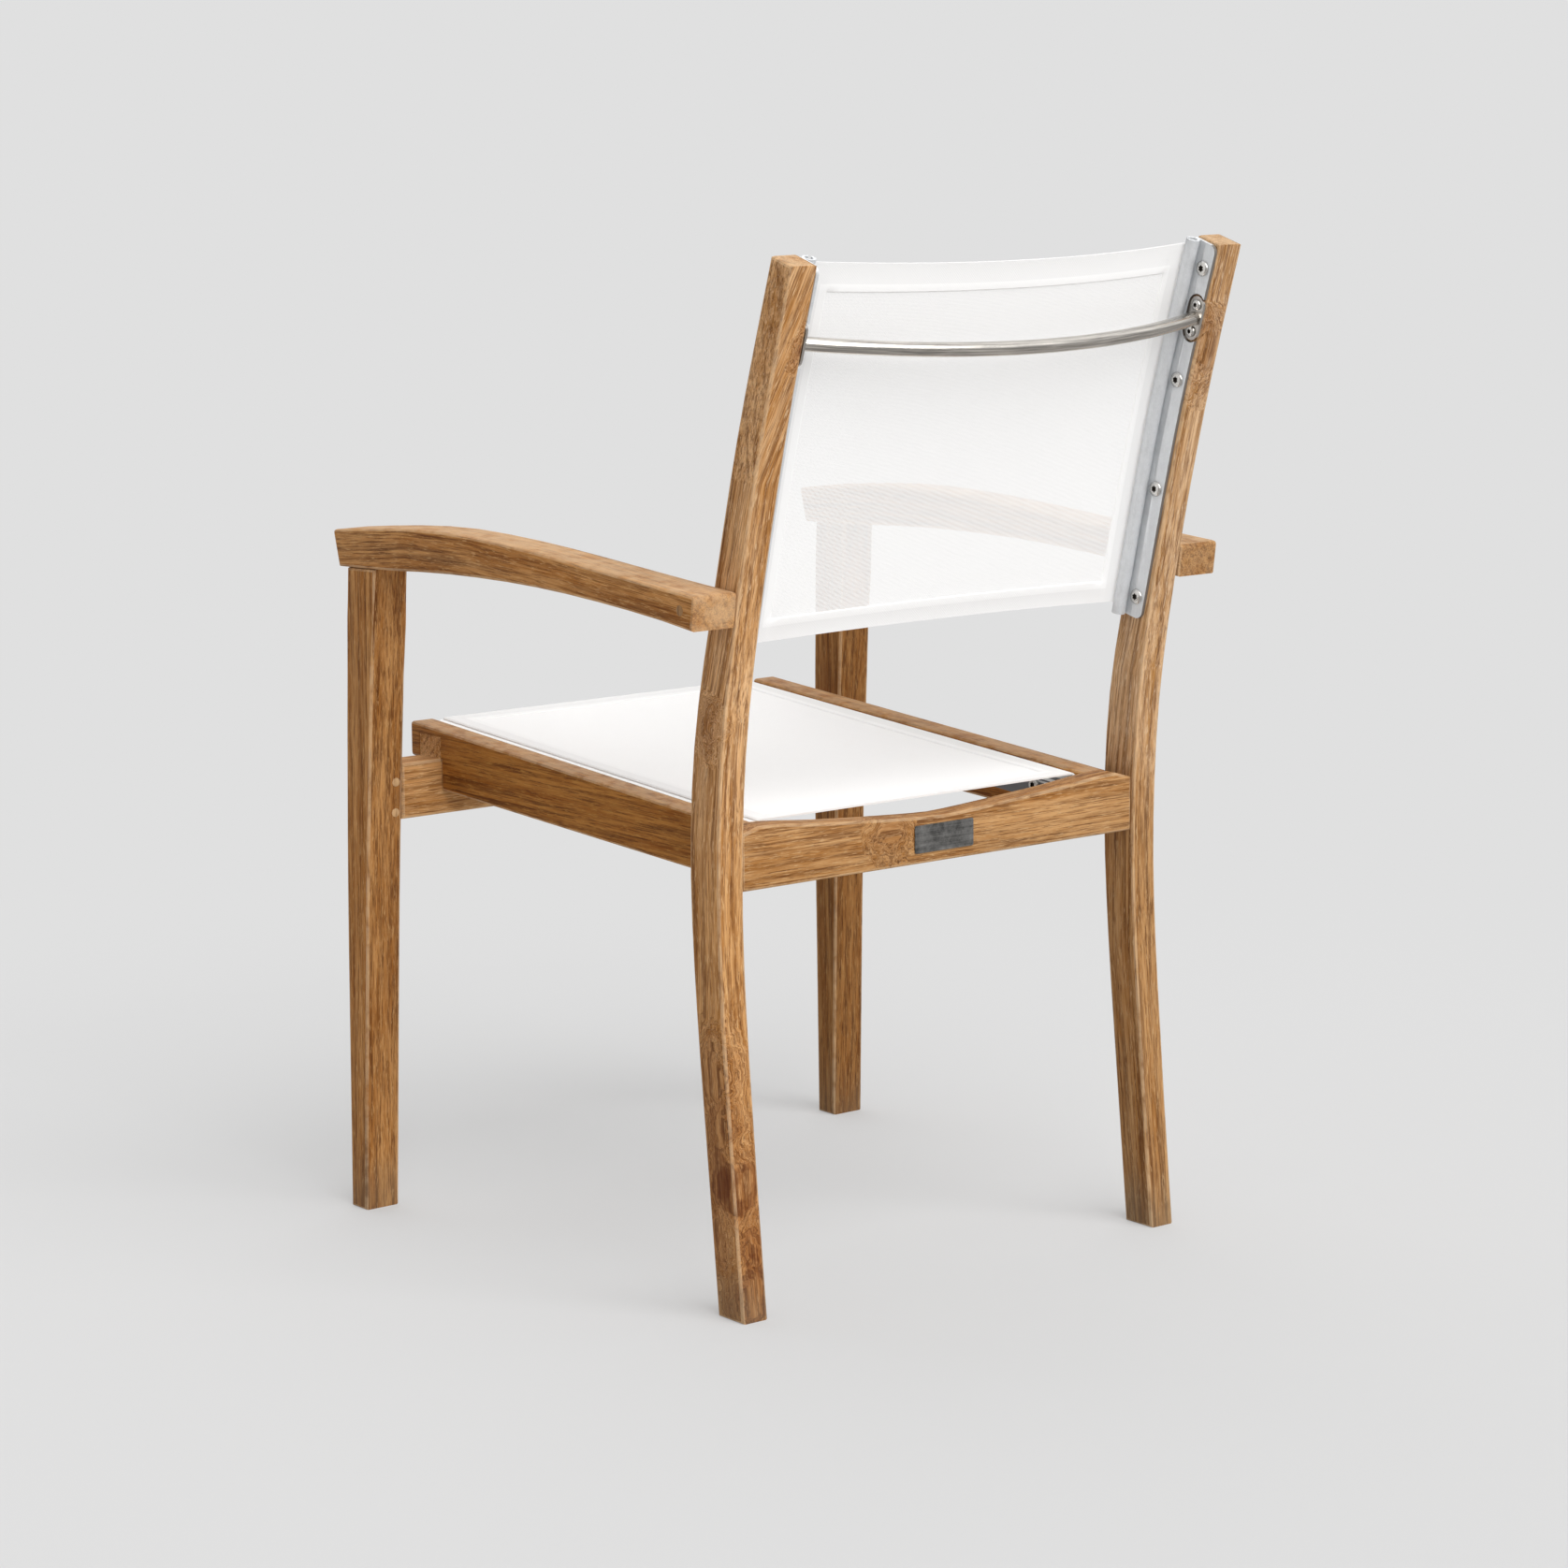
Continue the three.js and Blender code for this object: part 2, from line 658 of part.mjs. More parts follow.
function seatRail() {
  const lapRear = stretcherRear + fit;
  const lapFront = stretcherFront - fit;
  const nose = railTop(railFront) - railNoseDepth;
  const points = [
    at(railFront, nose),
    at(lapRear, nose),
    at(lapRear, railTop(lapRear) - railFrontDepth),
    at(railRear, railTop(railRear) - railRearDepth),
    at(railRear, railTop(railRear)),
    at(railFront, railTop(railFront)),
  ];
  const radii = [noseRound, 0, noseRound, 0, 0, noseRound];
  const body = sideExtrusion(softened(points, radii), railInner, railOuter, edgeRound);
  const lap = block(
    railInner - overrun, railOuter + overrun, lapFront, lapRear, nose - overrun, lapCeiling);
  const tenon = block(
    railMiddleX - railTenonThick / 2, railMiddleX + railTenonThick / 2,
    railRear - overrun, railRear + railTenonLength,
    railTenonFoot, railTenonFoot + railTenonHeight);
  const holes = seatScrews.map((place) => screwHole(railInner, place.y, place.z, screwLength - flangeThick));
  return shaped(body, [tenon], [lap, ...holes]);
}

addPair('seat_rail', seatRail(), teak);

// Front stretcher: lower between the rails, with a raised tab in each rail's lap
function frontStretcher() {
  const innerTop = railTop(stretcherRear) - seatBeadInset - seatFlangeTail - stretcherScoop;
  const half = [
    at(legInner(stretcherFoot) - fit, stretcherFoot),
    at(legInner(stretcherTop) - fit, stretcherTop),
    at(railInner, stretcherTop),
    at(railInner, innerTop),
  ];
  const scoop = [];
  for (let i = 1; i < curveSteps; i += 1) {
    const across = 1 - 2 * i / curveSteps;
    scoop.push(at(railInner * across, innerTop - stretcherScoop * (1 - across * across)));
  }
  const other = half.map((point) => at(-point.x, point.y)).reverse();
  const body = frontExtrusion([...half, ...scoop, ...other], stretcherFront, stretcherRear, edgeRound);
  const joined = [];
  const removed = [];
  for (const side of [1, -1]) {
    const spread = (from, to) => [Math.min(side * from, side * to), Math.max(side * from, side * to)];
    joined.push(block(
      ...spread(railInner + fit, railOuter - fit), stretcherFront, stretcherRear,
      stretcherTop - stretcherHeight / 2, lapCeiling - fit));
    joined.push(block(
      ...spread(legInner(stretcherTop) - legSplay - overrun, legInner(stretcherTop) + stretcherTenonLength),
      stretcherTenonMiddle - stretcherTenonThick / 2, stretcherTenonMiddle + stretcherTenonThick / 2,
      stretcherTenonFoot, stretcherTenonFoot + stretcherTenonHeight));
    for (const place of dowelPlaces) {
      removed.push(barAlongY(
        dowelRadius + fit, side * place.x, legRear(place.y) + overrun, place.y, -dowelLength - overrun - fit));
    }
  }
  return shaped(body, joined, removed);
}

add('front_stretcher', frontStretcher(), teak);

// Rear rail: crests near its ends, hollowed between them, with tenons into the posts
function rearRail() {
  const end = postInner - fit;
  const lowest = rearRailTop - rearRailHollow;
  const topAt = (x) => lowest
    + rearRailHollow * smooth(rearRailSpanShares, rearRailRiseShares, Math.abs(x) / end);
  const top = [];
  const divisions = 2 * curveSteps;
  for (let i = 0; i <= divisions; i += 1) {
    const x = end * (1 - 2 * i / divisions);
    top.push(at(x, topAt(x)));
  }
  const outline = [at(-end, rearRailFoot), at(end, rearRailFoot), ...top];
  const body = frontExtrusion(outline, rearRailFront, rearRailRear, edgeRound);
  const joined = [];
  const removed = [];
  for (const side of [1, -1]) {
    const spread = (from, to) => [Math.min(side * from, side * to), Math.max(side * from, side * to)];
    joined.push(block(
      ...spread(end - overrun, postInner + rearTenonLength),
      rearTenonMiddle - rearTenonThick / 2, rearTenonMiddle + rearTenonThick / 2,
      rearTenonFoot, rearTenonFoot + rearTenonHeight));
    removed.push(block(
      ...spread(railMiddleX - railTenonThick / 2 - fit, railMiddleX + railTenonThick / 2 + fit),
      rearRailFront - overrun, railRear + railTenonLength + fit,
      railTenonFoot - fit, railTenonFoot + railTenonHeight + fit));
  }
  return shaped(body, joined, removed);
}

add('rear_rail', rearRail(), teak);

// Bare nameplate on the rear rail's rear face
function nameplate() {
  const foot = rearRailFoot + nameplateRise;
  const outline = softened([
    at(-nameplateWidth / 2, foot),
    at(nameplateWidth / 2, foot),
    at(nameplateWidth / 2, foot + nameplateHeight),
    at(-nameplateWidth / 2, foot + nameplateHeight),
  ], [nameplateRound, nameplateRound, nameplateRound, nameplateRound]);
  return frontExtrusion(outline, rearRailRear + fit, rearRailRear + fit + nameplateThick, 0);
}

add('nameplate', nameplate(), darkMetal);

// Tracks on the posts, notched round the brace plates, and on the seat rails
function backTrack() {
  const body = runAlong(trackSection(backFlangeTail, backSlotAngle), backTrackPath, curveSteps, postInner);
  const notch = sideExtrusion(
    plateOutline(plateLength + 2 * plateNotchGap, plateWidth + 2 * plateNotchGap),
    flangeSeat - ribDepth - fit, postInner + overrun, 0);
  const holes = backScrews.map((place) => screwHole(flangeSeat, place.y, place.z, flangeThick));
  const spots = backScrews.map((place) => spotFace(flangeSeat, place.y, place.z));
  const corners = [[backTrackFoot, 1], [backTrackTop, -1]].map(([z, inward]) => {
    const tangent = backTangent(z);
    const back = rearward(tangent);
    const corner = new THREE.Vector3(0, backBead(z), z).addScaledVector(back, backFlangeTail);
    return cornerTool(
      postInner + fit, corner, tangent.clone().multiplyScalar(inward), back.clone().negate());
  });
  return shaped(body, [], [notch, ...holes, ...spots, ...corners]);
}

function seatTrack() {
  const path = seatPath(seatTrackFront, seatTrackRear);
  const body = runAlong(trackSection(seatFlangeTail, seatSlotAngle), path, 1, railInner);
  const holes = seatScrews.map((place) => screwHole(railSeat, place.y, place.z, flangeThick));
  const spots = seatScrews.map((place) => spotFace(railSeat, place.y, place.z));
  const corners = [[seatTrackFront, 1], [seatTrackRear, -1]].map(([y, inward]) => {
    const corner = new THREE.Vector3(0, y, seatBead(y)).addScaledVector(seatDown, seatFlangeTail);
    return cornerTool(
      railInner + fit, corner, seatTangent.clone().multiplyScalar(inward), seatDown.clone().negate());
  });
  return shaped(body, [], [...holes, ...spots, ...corners]);
}

addPair('back_track', backTrack(), aluminium);
addPair('seat_track', seatTrack(), aluminium);

// Slings: one closed sheet whose side edges run into the slots
const kederGap = kederRadius + fit;

// Stations of half a sling across: inward distance from the wood, height and tilt of its middle
function slingStations(face, slotAngle) {
  const stations = [];
  const along = (radius, angle) => ({
    inward: beadStandoff + radius * Math.cos(slotAngle),
    height: radius * Math.sin(slotAngle),
    tilt: angle,
    thick: hemThick,
  });
  stations.push(along(kederGap, slotAngle));
  const exit = beadRadius + fit;
  stations.push(along(exit, slotAngle));
  const pivot = along(exit, slotAngle);
  for (let i = 1; i <= cornerSteps; i += 1) {
    const tilt = slotAngle * (1 - i / cornerSteps);
    stations.push({
      inward: pivot.inward + bendRadius * (Math.sin(slotAngle) - Math.sin(tilt)),
      height: pivot.height + bendRadius * (Math.cos(tilt) - Math.cos(slotAngle)),
      tilt,
      thick: hemThick,
    });
  }
  const edge = stations[stations.length - 1];
  const hemEnd = edge.inward + sideHem;
  stations.push({ ...edge, inward: hemEnd });
  stations.push({ ...edge, inward: hemEnd + hemStep, thick: clothThick });
  for (let i = 1; i <= slingHalfSpans; i += 1) {
    const share = i / slingHalfSpans;
    stations.push({
      ...edge,
      inward: THREE.MathUtils.lerp(hemEnd + hemStep, face, share),
      thick: clothThick,
    });
  }
  stations.forEach((station) => {
    const open = face - edge.inward;
    station.slack = 1 - Math.min((face - station.inward) / open, 1) ** 2;
  });
  return stations;
}

// Rows of a sling: shares of its length, with a close pair of rows at each hem
function slingRowShares(length, firstHem, lastHem) {
  const rows = [
    { share: 0, thick: hemThick },
    { share: firstHem / length, thick: hemThick },
  ];
  const from = (firstHem + hemStep) / length;
  const to = 1 - (lastHem + hemStep) / length;
  for (let i = 0; i <= slingRows; i += 1) {
    rows.push({ share: THREE.MathUtils.lerp(from, to, i / slingRows), thick: clothThick });
  }
  rows.push({ share: 1 - lastHem / length, thick: hemThick });
  rows.push({ share: 1, thick: hemThick });
  return rows;
}

// Sheet between two beads. placeAt(share, slack) gives the path's point, its tangent and the sag.
function sling(face, slotAngle, rows, placeAt) {
  const half = slingStations(face, slotAngle);
  const across = [...half, ...half.slice(0, -1).reverse()];
  const columns = across.length - 1;
  const sheet = new THREE.BoxGeometry(1, 1, 1, columns, rows.length - 1, 1);
  const place = sheet.attributes.position;
  for (let i = 0; i < place.count; i += 1) {
    const column = Math.round((place.getX(i) + 0.5) * columns);
    const row = rows[Math.round((place.getY(i) + 0.5) * (rows.length - 1))];
    const station = across[column];
    const side = column < half.length ? -1 : 1;
    const surface = place.getZ(i) * Math.max(station.thick, row.thick);
    const inward = station.inward - surface * Math.sin(station.tilt);
    const { point, up, sag } = placeAt(row.share, station.slack);
    const height = station.height + surface * Math.cos(station.tilt) - sag;
    place.setXYZ(
      i, side * (face - inward), point.y + up.y * height, point.z + up.z * height);
  }
  return sheet;
}

const backSlingFoot = backTrackFoot + backSlingFootGap;
const backSlingTop = backTrackTop - backSlingTopGap;

function backSling() {
  const length = backSlingTop - backSlingFoot;
  const rows = slingRowShares(length, backFootHem, backTopHem);
  return sling(postInner, backSlotAngle, rows, (share, slack) => {
    const rise = backHemRise * slack * (1 - share);
    const z = backSlingFoot + share * length + rise;
    const tangent = backTangent(z);
    return {
      point: new THREE.Vector3(0, backBead(z), z),
      up: rearward(tangent).negate(),
      sag: slack * THREE.MathUtils.lerp(backBowFoot, backBowTop, share),
    };
  });
}

function seatSling() {
  const front = seatTrackFront + seatSlingEndGap;
  const length = seatTrackRear - seatSlingEndGap - front;
  const rows = slingRowShares(length, seatHem, seatHem);
  return sling(railInner, seatSlotAngle, rows, (share, slack) => {
    const y = front + share * length;
    return {
      point: new THREE.Vector3(0, y, seatBead(y)),
      up: seatDown.clone().negate(),
      sag: slack * seatSag * Math.sin(Math.PI * share),
    };
  });
}

add('back_sling', backSling(), mesh);
add('seat_sling', seatSling(), mesh);

const kederShape = roundSection(kederRadius, beadStandoff, roundSides);
addPair('back_keder', runAlong(kederShape, backPath(backSlingFoot, backSlingTop), curveSteps, postInner), cord);
addPair('seat_keder', runAlong(
  kederShape,
  seatPath(seatTrackFront + seatSlingEndGap, seatTrackRear - seatSlingEndGap), 1, railInner), cord);

// Brace bar: an arc from plate to plate, bowed back and cut square to the plates
function braceBar() {
  const end = plateFace - fit;
  const bow = Math.hypot(barBow, barDroop);
  const radius = (end * end + bow * bow) / (2 * bow);
  const reach = end + barRadius;
  const points = [];
  for (let i = 0; i <= 2 * curveSteps; i += 1) {
    const x = reach * (1 - i / curveSteps);
    const out = bow - radius + Math.sqrt(radius * radius - x * x);
    points.push(new THREE.Vector3(
      x, plateCentre.y + out * barBow / bow, plateCentre.z - out * barDroop / bow));
  }
  const path = new THREE.CatmullRomCurve3(points);
  const bar = new THREE.ExtrudeGeometry(
    roundSection(barRadius, 0, barSides), { extrudePath: path, steps: 2 * curveSteps });
  const trims = [1, -1].map((side) => {
    const size = 4 * barRadius;
    return new THREE.BoxGeometry(size, size, size)
      .translate(side * (end + size / 2), plateCentre.y, plateCentre.z);
  });
  return shaped(bar, [], trims);
}

add('brace_bar', braceBar(), steel);

function bracePlate() {
  const body = sideExtrusion(plateOutline(plateLength, plateWidth), plateFace, postInner - fit, 0);
  const holes = plateScrews.map((place) => screwHole(plateFace, place.y, place.z, plateThick));
  return shaped(body, [], holes);
}

addPair('brace_plate', bracePlate(), steel);

// Screws, heads inward
function addScrews(name, places, seat, suffixes) {
  places.forEach((place, i) => {
    addPair(name, screwShape(screwLength).translate(seat - fit, place.y, place.z), steel, suffixes[i]);
  });
}

addScrews('back_track_screw', backScrews, flangeSeat, ['_1', '_2', '_3', '_4']);
addScrews('seat_track_screw', seatScrews, railSeat, ['_1', '_2', '_3', '_4']);
addScrews('brace_screw', plateScrews, plateFace, ['_upper', '_lower']);

// Dowels through the legs' rear faces, arm bolts and their plugs
dowelPlaces.forEach((place, i) => {
  const dowel = barAlongY(dowelRadius, place.x, legRear(place.y), place.y, -dowelLength);
  addPair('leg_dowel', dowel, teakEnd, ['_lower', '_upper'][i]);
});

function armBolt() {
  const head = barAlongX(boltHeadRadius, boltSeat, boltY, boltZ, boltHeadHeight);
  const shank = barAlongX(boltRadius, boltSeat + overrun, boltY, boltZ, -boltLength - overrun);
  return shaped(head, [shank], []);
}

addPair('arm_bolt', armBolt(), steel);
addPair('arm_plug', barAlongX(
  plugRadius, armOuter - plugDepth, boltY, boltZ, armSide(boltY) - armOuter + plugDepth), teakEnd);

// The chair stands with the middle of its depth over the origin
const bounds = new THREE.Box3().setFromObject(chair);
chair.position.y = -(bounds.min.y + bounds.max.y) / 2;
chair.updateMatrixWorld(true);

export default chair;
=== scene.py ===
import math

import bmesh
import bpy
from mathutils import Matrix, Vector


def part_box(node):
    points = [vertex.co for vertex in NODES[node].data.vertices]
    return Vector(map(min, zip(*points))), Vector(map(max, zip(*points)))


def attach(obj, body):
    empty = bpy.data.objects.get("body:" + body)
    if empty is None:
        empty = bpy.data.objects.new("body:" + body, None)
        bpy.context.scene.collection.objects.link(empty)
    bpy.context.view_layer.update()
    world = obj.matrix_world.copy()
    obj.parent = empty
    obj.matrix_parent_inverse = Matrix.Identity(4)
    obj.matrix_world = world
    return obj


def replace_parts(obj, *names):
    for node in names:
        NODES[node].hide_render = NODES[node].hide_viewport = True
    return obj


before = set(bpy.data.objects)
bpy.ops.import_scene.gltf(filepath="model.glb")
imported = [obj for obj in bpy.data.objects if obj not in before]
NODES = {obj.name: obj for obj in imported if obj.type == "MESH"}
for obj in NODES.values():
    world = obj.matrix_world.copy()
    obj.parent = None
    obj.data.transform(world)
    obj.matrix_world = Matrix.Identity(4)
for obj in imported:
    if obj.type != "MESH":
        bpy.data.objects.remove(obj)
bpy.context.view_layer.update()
SCENE = bpy.context.scene

# ---------------------------------------------------------------- lines of the chair, in metres

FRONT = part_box("front_leg_left")[0].y
BACK_HEIGHT = 0.883
SEAT_HEIGHT = 0.440
SEAT_DROP = 0.0306
POST_SWEEP = 0.0839
LEG_TO_POST = 0.4908
POST_HEIGHT_SHARES = (0, 0.166, 0.334, 0.445, 0.556, 0.69, 0.846, 1)
POST_SETBACK_SHARES = (0, -0.182, -0.344, -0.38, -0.279, 0.046, 0.479, 1)
POST_INNER = 0.2171
POST_TOP_ROUND = 0.0022
RAIL_INNER = 0.1855
JOINT_GAP = 0.0003
RAIL_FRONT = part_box("seat_rail_left")[0].y
RAIL_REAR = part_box("rear_rail")[0].y - JOINT_GAP

# Tracks: a bead that holds the keder rod, stood off from the wood by a flange.
FLANGE_INNER = 0.2135
BACK_TRACK = (0.5515, 0.880)
SEAT_TRACK_INSETS = (0.0025, 0.0035)
BACK_BEAD_INSETS = (0.007, 0.0048)
SEAT_BEAD_INSET = 0.008
BEAD_STANDOFF = 0.009
BEAD_RADIUS = 0.006
KEDER_RADIUS = 0.003
BACK_SLOT_ANGLE = math.radians(45)
SEAT_SLOT_ANGLE = math.radians(80)

# Slings. Insets, hems and sags are given at the foot or front first, then at the top or rear.
BACK_SLING_INSETS = (0.009, 0.005)
SEAT_SLING_GAP = 0.0015
BACK_HEMS = (0.020, 0.025)
SEAT_HEMS = (0.020, 0.020)
SIDE_HEM = 0.020
BACK_SAGS = (0.014, 0.020)
BACK_FOOT_RISE = 0.009
SEAT_SAG = 0.007
CLOTH_CLEARANCE = 0.0003
CLOTH_BEND = 0.0014
HEM_THICK = 0.0015
HEM_EDGE = 0.0004
SEAM_THICK = 0.0004
SEAM_WIDTH = 0.007
SEAM_SLOPE = 0.0008
SLOT_FILL = 0.0023

# Steel bar, screws and wooden pegs.
BAR_RADIUS = 0.006
BAR_BOW = 0.0382
BAR_DROOP = 0.0115
SCREW_HEAD_HEIGHT = 0.0024
SCREW_SHANK_RADIUS = 0.0018
SOCKET_FLOOR = 0.0006
SOCKET_LOBES = 6
SOCKET_LOBE_DEPTH = 0.14
TRACK_HEAD_SPREAD = 1.6
BRACE_HEAD_SPREAD = 1.15
PEG_RIM_ROUND = 0.0004

# Limits for merging loose triangles and for shading round edges smooth, in metres and degrees.
MERGE_GAP = 0.00002
SCREW_MERGE_GAP = 0.000005
FLAT_ANGLE = 0.3
SAWN_SMOOTH_ANGLE = 32
PEG_SMOOTH_ANGLE = 30
ROUND_SMOOTH_ANGLE = 40
CLOTH_SMOOTH_ANGLE = 60


# ---------------------------------------------------------------- small makers' tools

def srgb(red, green, blue):
    """A colour as it looks on a screen, 0 to 255, as the linear values a shader needs."""
    def linear(value):
        value /= 255
        return value / 12.92 if value <= 0.04045 else ((value + 0.055) / 1.055) ** 2.4
    return (linear(red), linear(green), linear(blue), 1)


def smooth_line(places, values, place):
    """The curve of the rear posts: a smooth line through a table of shares."""
    last = len(places) - 1
    i = 0
    while i < last - 1 and place > places[i + 1]:
        i += 1

    def slope(k):
        before, after = max(k - 1, 0), min(k + 1, last)
        return (values[after] - values[before]) / (places[after] - places[before])

    span = places[i + 1] - places[i]
    t = (place - places[i]) / span
    rise = values[i + 1] - values[i]
    start_bend = slope(i) * span - rise
    end_bend = rise - slope(i + 1) * span
    return values[i] + t * rise + t * (1 - t) * ((1 - t) * start_bend + t * end_bend)


def mix(a, b, share):
    return a + (b - a) * share


def piece_from(name, bm, material, smooth_angle):
    """Makes the finished bmesh a piece of the chair, riding on its one body."""
    mesh = bpy.data.meshes.new(name)
    bm.to_mesh(mesh)
    bm.free()
    mesh.shade_smooth()
    mesh.set_sharp_from_angle(angle=math.radians(smooth_angle))
    mesh.materials.append(material)
    piece = bpy.data.objects.new(name, mesh)
    SCENE.collection.objects.link(piece)
    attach(piece, "root")
    return piece


def merged_copy(node):
    """A bmesh copy of a CAD node, its loose triangles merged into flat faces."""
    bm = bmesh.new()
    bm.from_mesh(NODES[node].data)
    bmesh.ops.remove_doubles(bm, verts=bm.verts, dist=MERGE_GAP)
    bmesh.ops.dissolve_limit(
        bm, angle_limit=math.radians(FLAT_ANGLE), verts=bm.verts, edges=bm.edges)
    bm.normal_update()
    return bm


# ---------------------------------------------------------------- shader node helpers

def feed(tree, made, inputs):
    """Links or sets the inputs of a node."""
    for key, value in inputs.items():
        if isinstance(value, bpy.types.NodeSocket):
            tree.links.new(value, made.inputs[key])
        else:
            made.inputs[key].default_value = value


def put(tree, kind, settings=None, inputs=None):
    """Adds a node, sets its options, and links or sets its inputs."""
    made = tree.nodes.new("ShaderNode" + kind)
    for key, value in (settings or {}).items():
        setattr(made, key, value)
    feed(tree, made, inputs or {})
    return made


def use_group(tree, group, inputs):
    """Adds a node group with its own values."""
    made = tree.nodes.new("ShaderNodeGroup")
    made.node_tree = group
    feed(tree, made, inputs)
    return made.outputs


def calc(tree, operation, a, b=0.0):
    return put(tree, "Math", {"operation": operation}, {0: a, 1: b}).outputs[0]


def times(tree, a, b):
    return calc(tree, "MULTIPLY", a, b)


def spread(tree, value, amount):
    """A noise value, moved to swing round nought by half of the amount each way."""
    return times(tree, calc(tree, "SUBTRACT", value, 0.5), amount)


def vector_sum(tree, a, b):
    return put(tree, "VectorMath", {"operation": "ADD"}, {0: a, 1: b}).outputs[0]


def vector_parts(tree, vector):
    return put(tree, "SeparateXYZ", {}, {0: vector}).outputs


def blend_colours(tree, share, a, b, kind="MIX"):
    made = put(tree, "Mix", {"data_type": "RGBA", "blend_type": kind}, {0: share, 6: a, 7: b})
    return made.outputs[2]


def between(tree, value, low, high):
    """Value from low to high as 0 to 1, smoothly."""
    made = put(tree, "MapRange", {"interpolation_type": "SMOOTHSTEP"},
               {"Value": value, "From Min": low, "From Max": high})
    return made.outputs[0]


def speckle(tree, vector, scale, detail=2.0, rough=0.5):
    """Even noise from 0 to 1."""
    made = put(tree, "TexNoise", {}, {
        "Vector": vector, "Scale": scale, "Detail": detail, "Roughness": rough})
    return made.outputs[0]


def drawn_noise(tree, vector, scale, detail=3.0, rough=0.6, shift=(0, 0, 0)):
    """Noise with its own scale on each axis."""
    stretched = put(tree, "Mapping", {}, {"Vector": vector, "Scale": scale, "Location": shift})
    return speckle(tree, stretched.outputs[0], 1.0, detail, rough)


def surface_mark(tree, name):
    """A mark that the piece's mesh carries on its faces."""
    settings = {"attribute_name": name, "attribute_type": "GEOMETRY"}
    return put(tree, "Attribute", settings).outputs


NUMBER, COLOUR, VECTOR = "NodeSocketFloat", "NodeSocketColor", "NodeSocketVector"


def group_tree(name, inputs, outputs):
    """An empty shader node group with named sockets: its tree, what it is given, and its end."""
    tree = bpy.data.node_groups.new(name, "ShaderNodeTree")
    for label, kind, value in inputs:
        socket = tree.interface.new_socket(name=label, in_out="INPUT", socket_type=kind)
        if value is not None:
            socket.default_value = value
    for label, kind in outputs:
        tree.interface.new_socket(name=label, in_out="OUTPUT", socket_type=kind)
    return tree, tree.nodes.new("NodeGroupInput").outputs, tree.nodes.new("NodeGroupOutput")


# ---------------------------------------------------------------- shared effects

# Grain patterns: noise cells a metre, twice across the board and once along it.
SWAY_CELLS = (9, 9, 1.1)
TONE_CELLS = (65, 65, 3.5)
MOTTLE_CELLS = (230, 230, 28)
FAINT_CELLS = (110, 110, 6)
STREAK_CELLS = (300, 300, 5)
FINE_CELLS = (820, 820, 17)
PORE_CELLS = (900, 900, 42)
FLECK_CELLS = (760, 760, 75)

# Growth lines: radians a metre on the two axes across the board, and radians that they sway.
LINE_TURNS = (640.0, 480.0)
LINE_DRIFT = 36.0

# Knots are a little taller than wide, ragged by a few millimetres, and faintly ringed.
KNOT_SQUEEZE = (1, 1, 0.7)
KNOT_RAGGED = 0.030
KNOT_RING_TURNS = 560.0


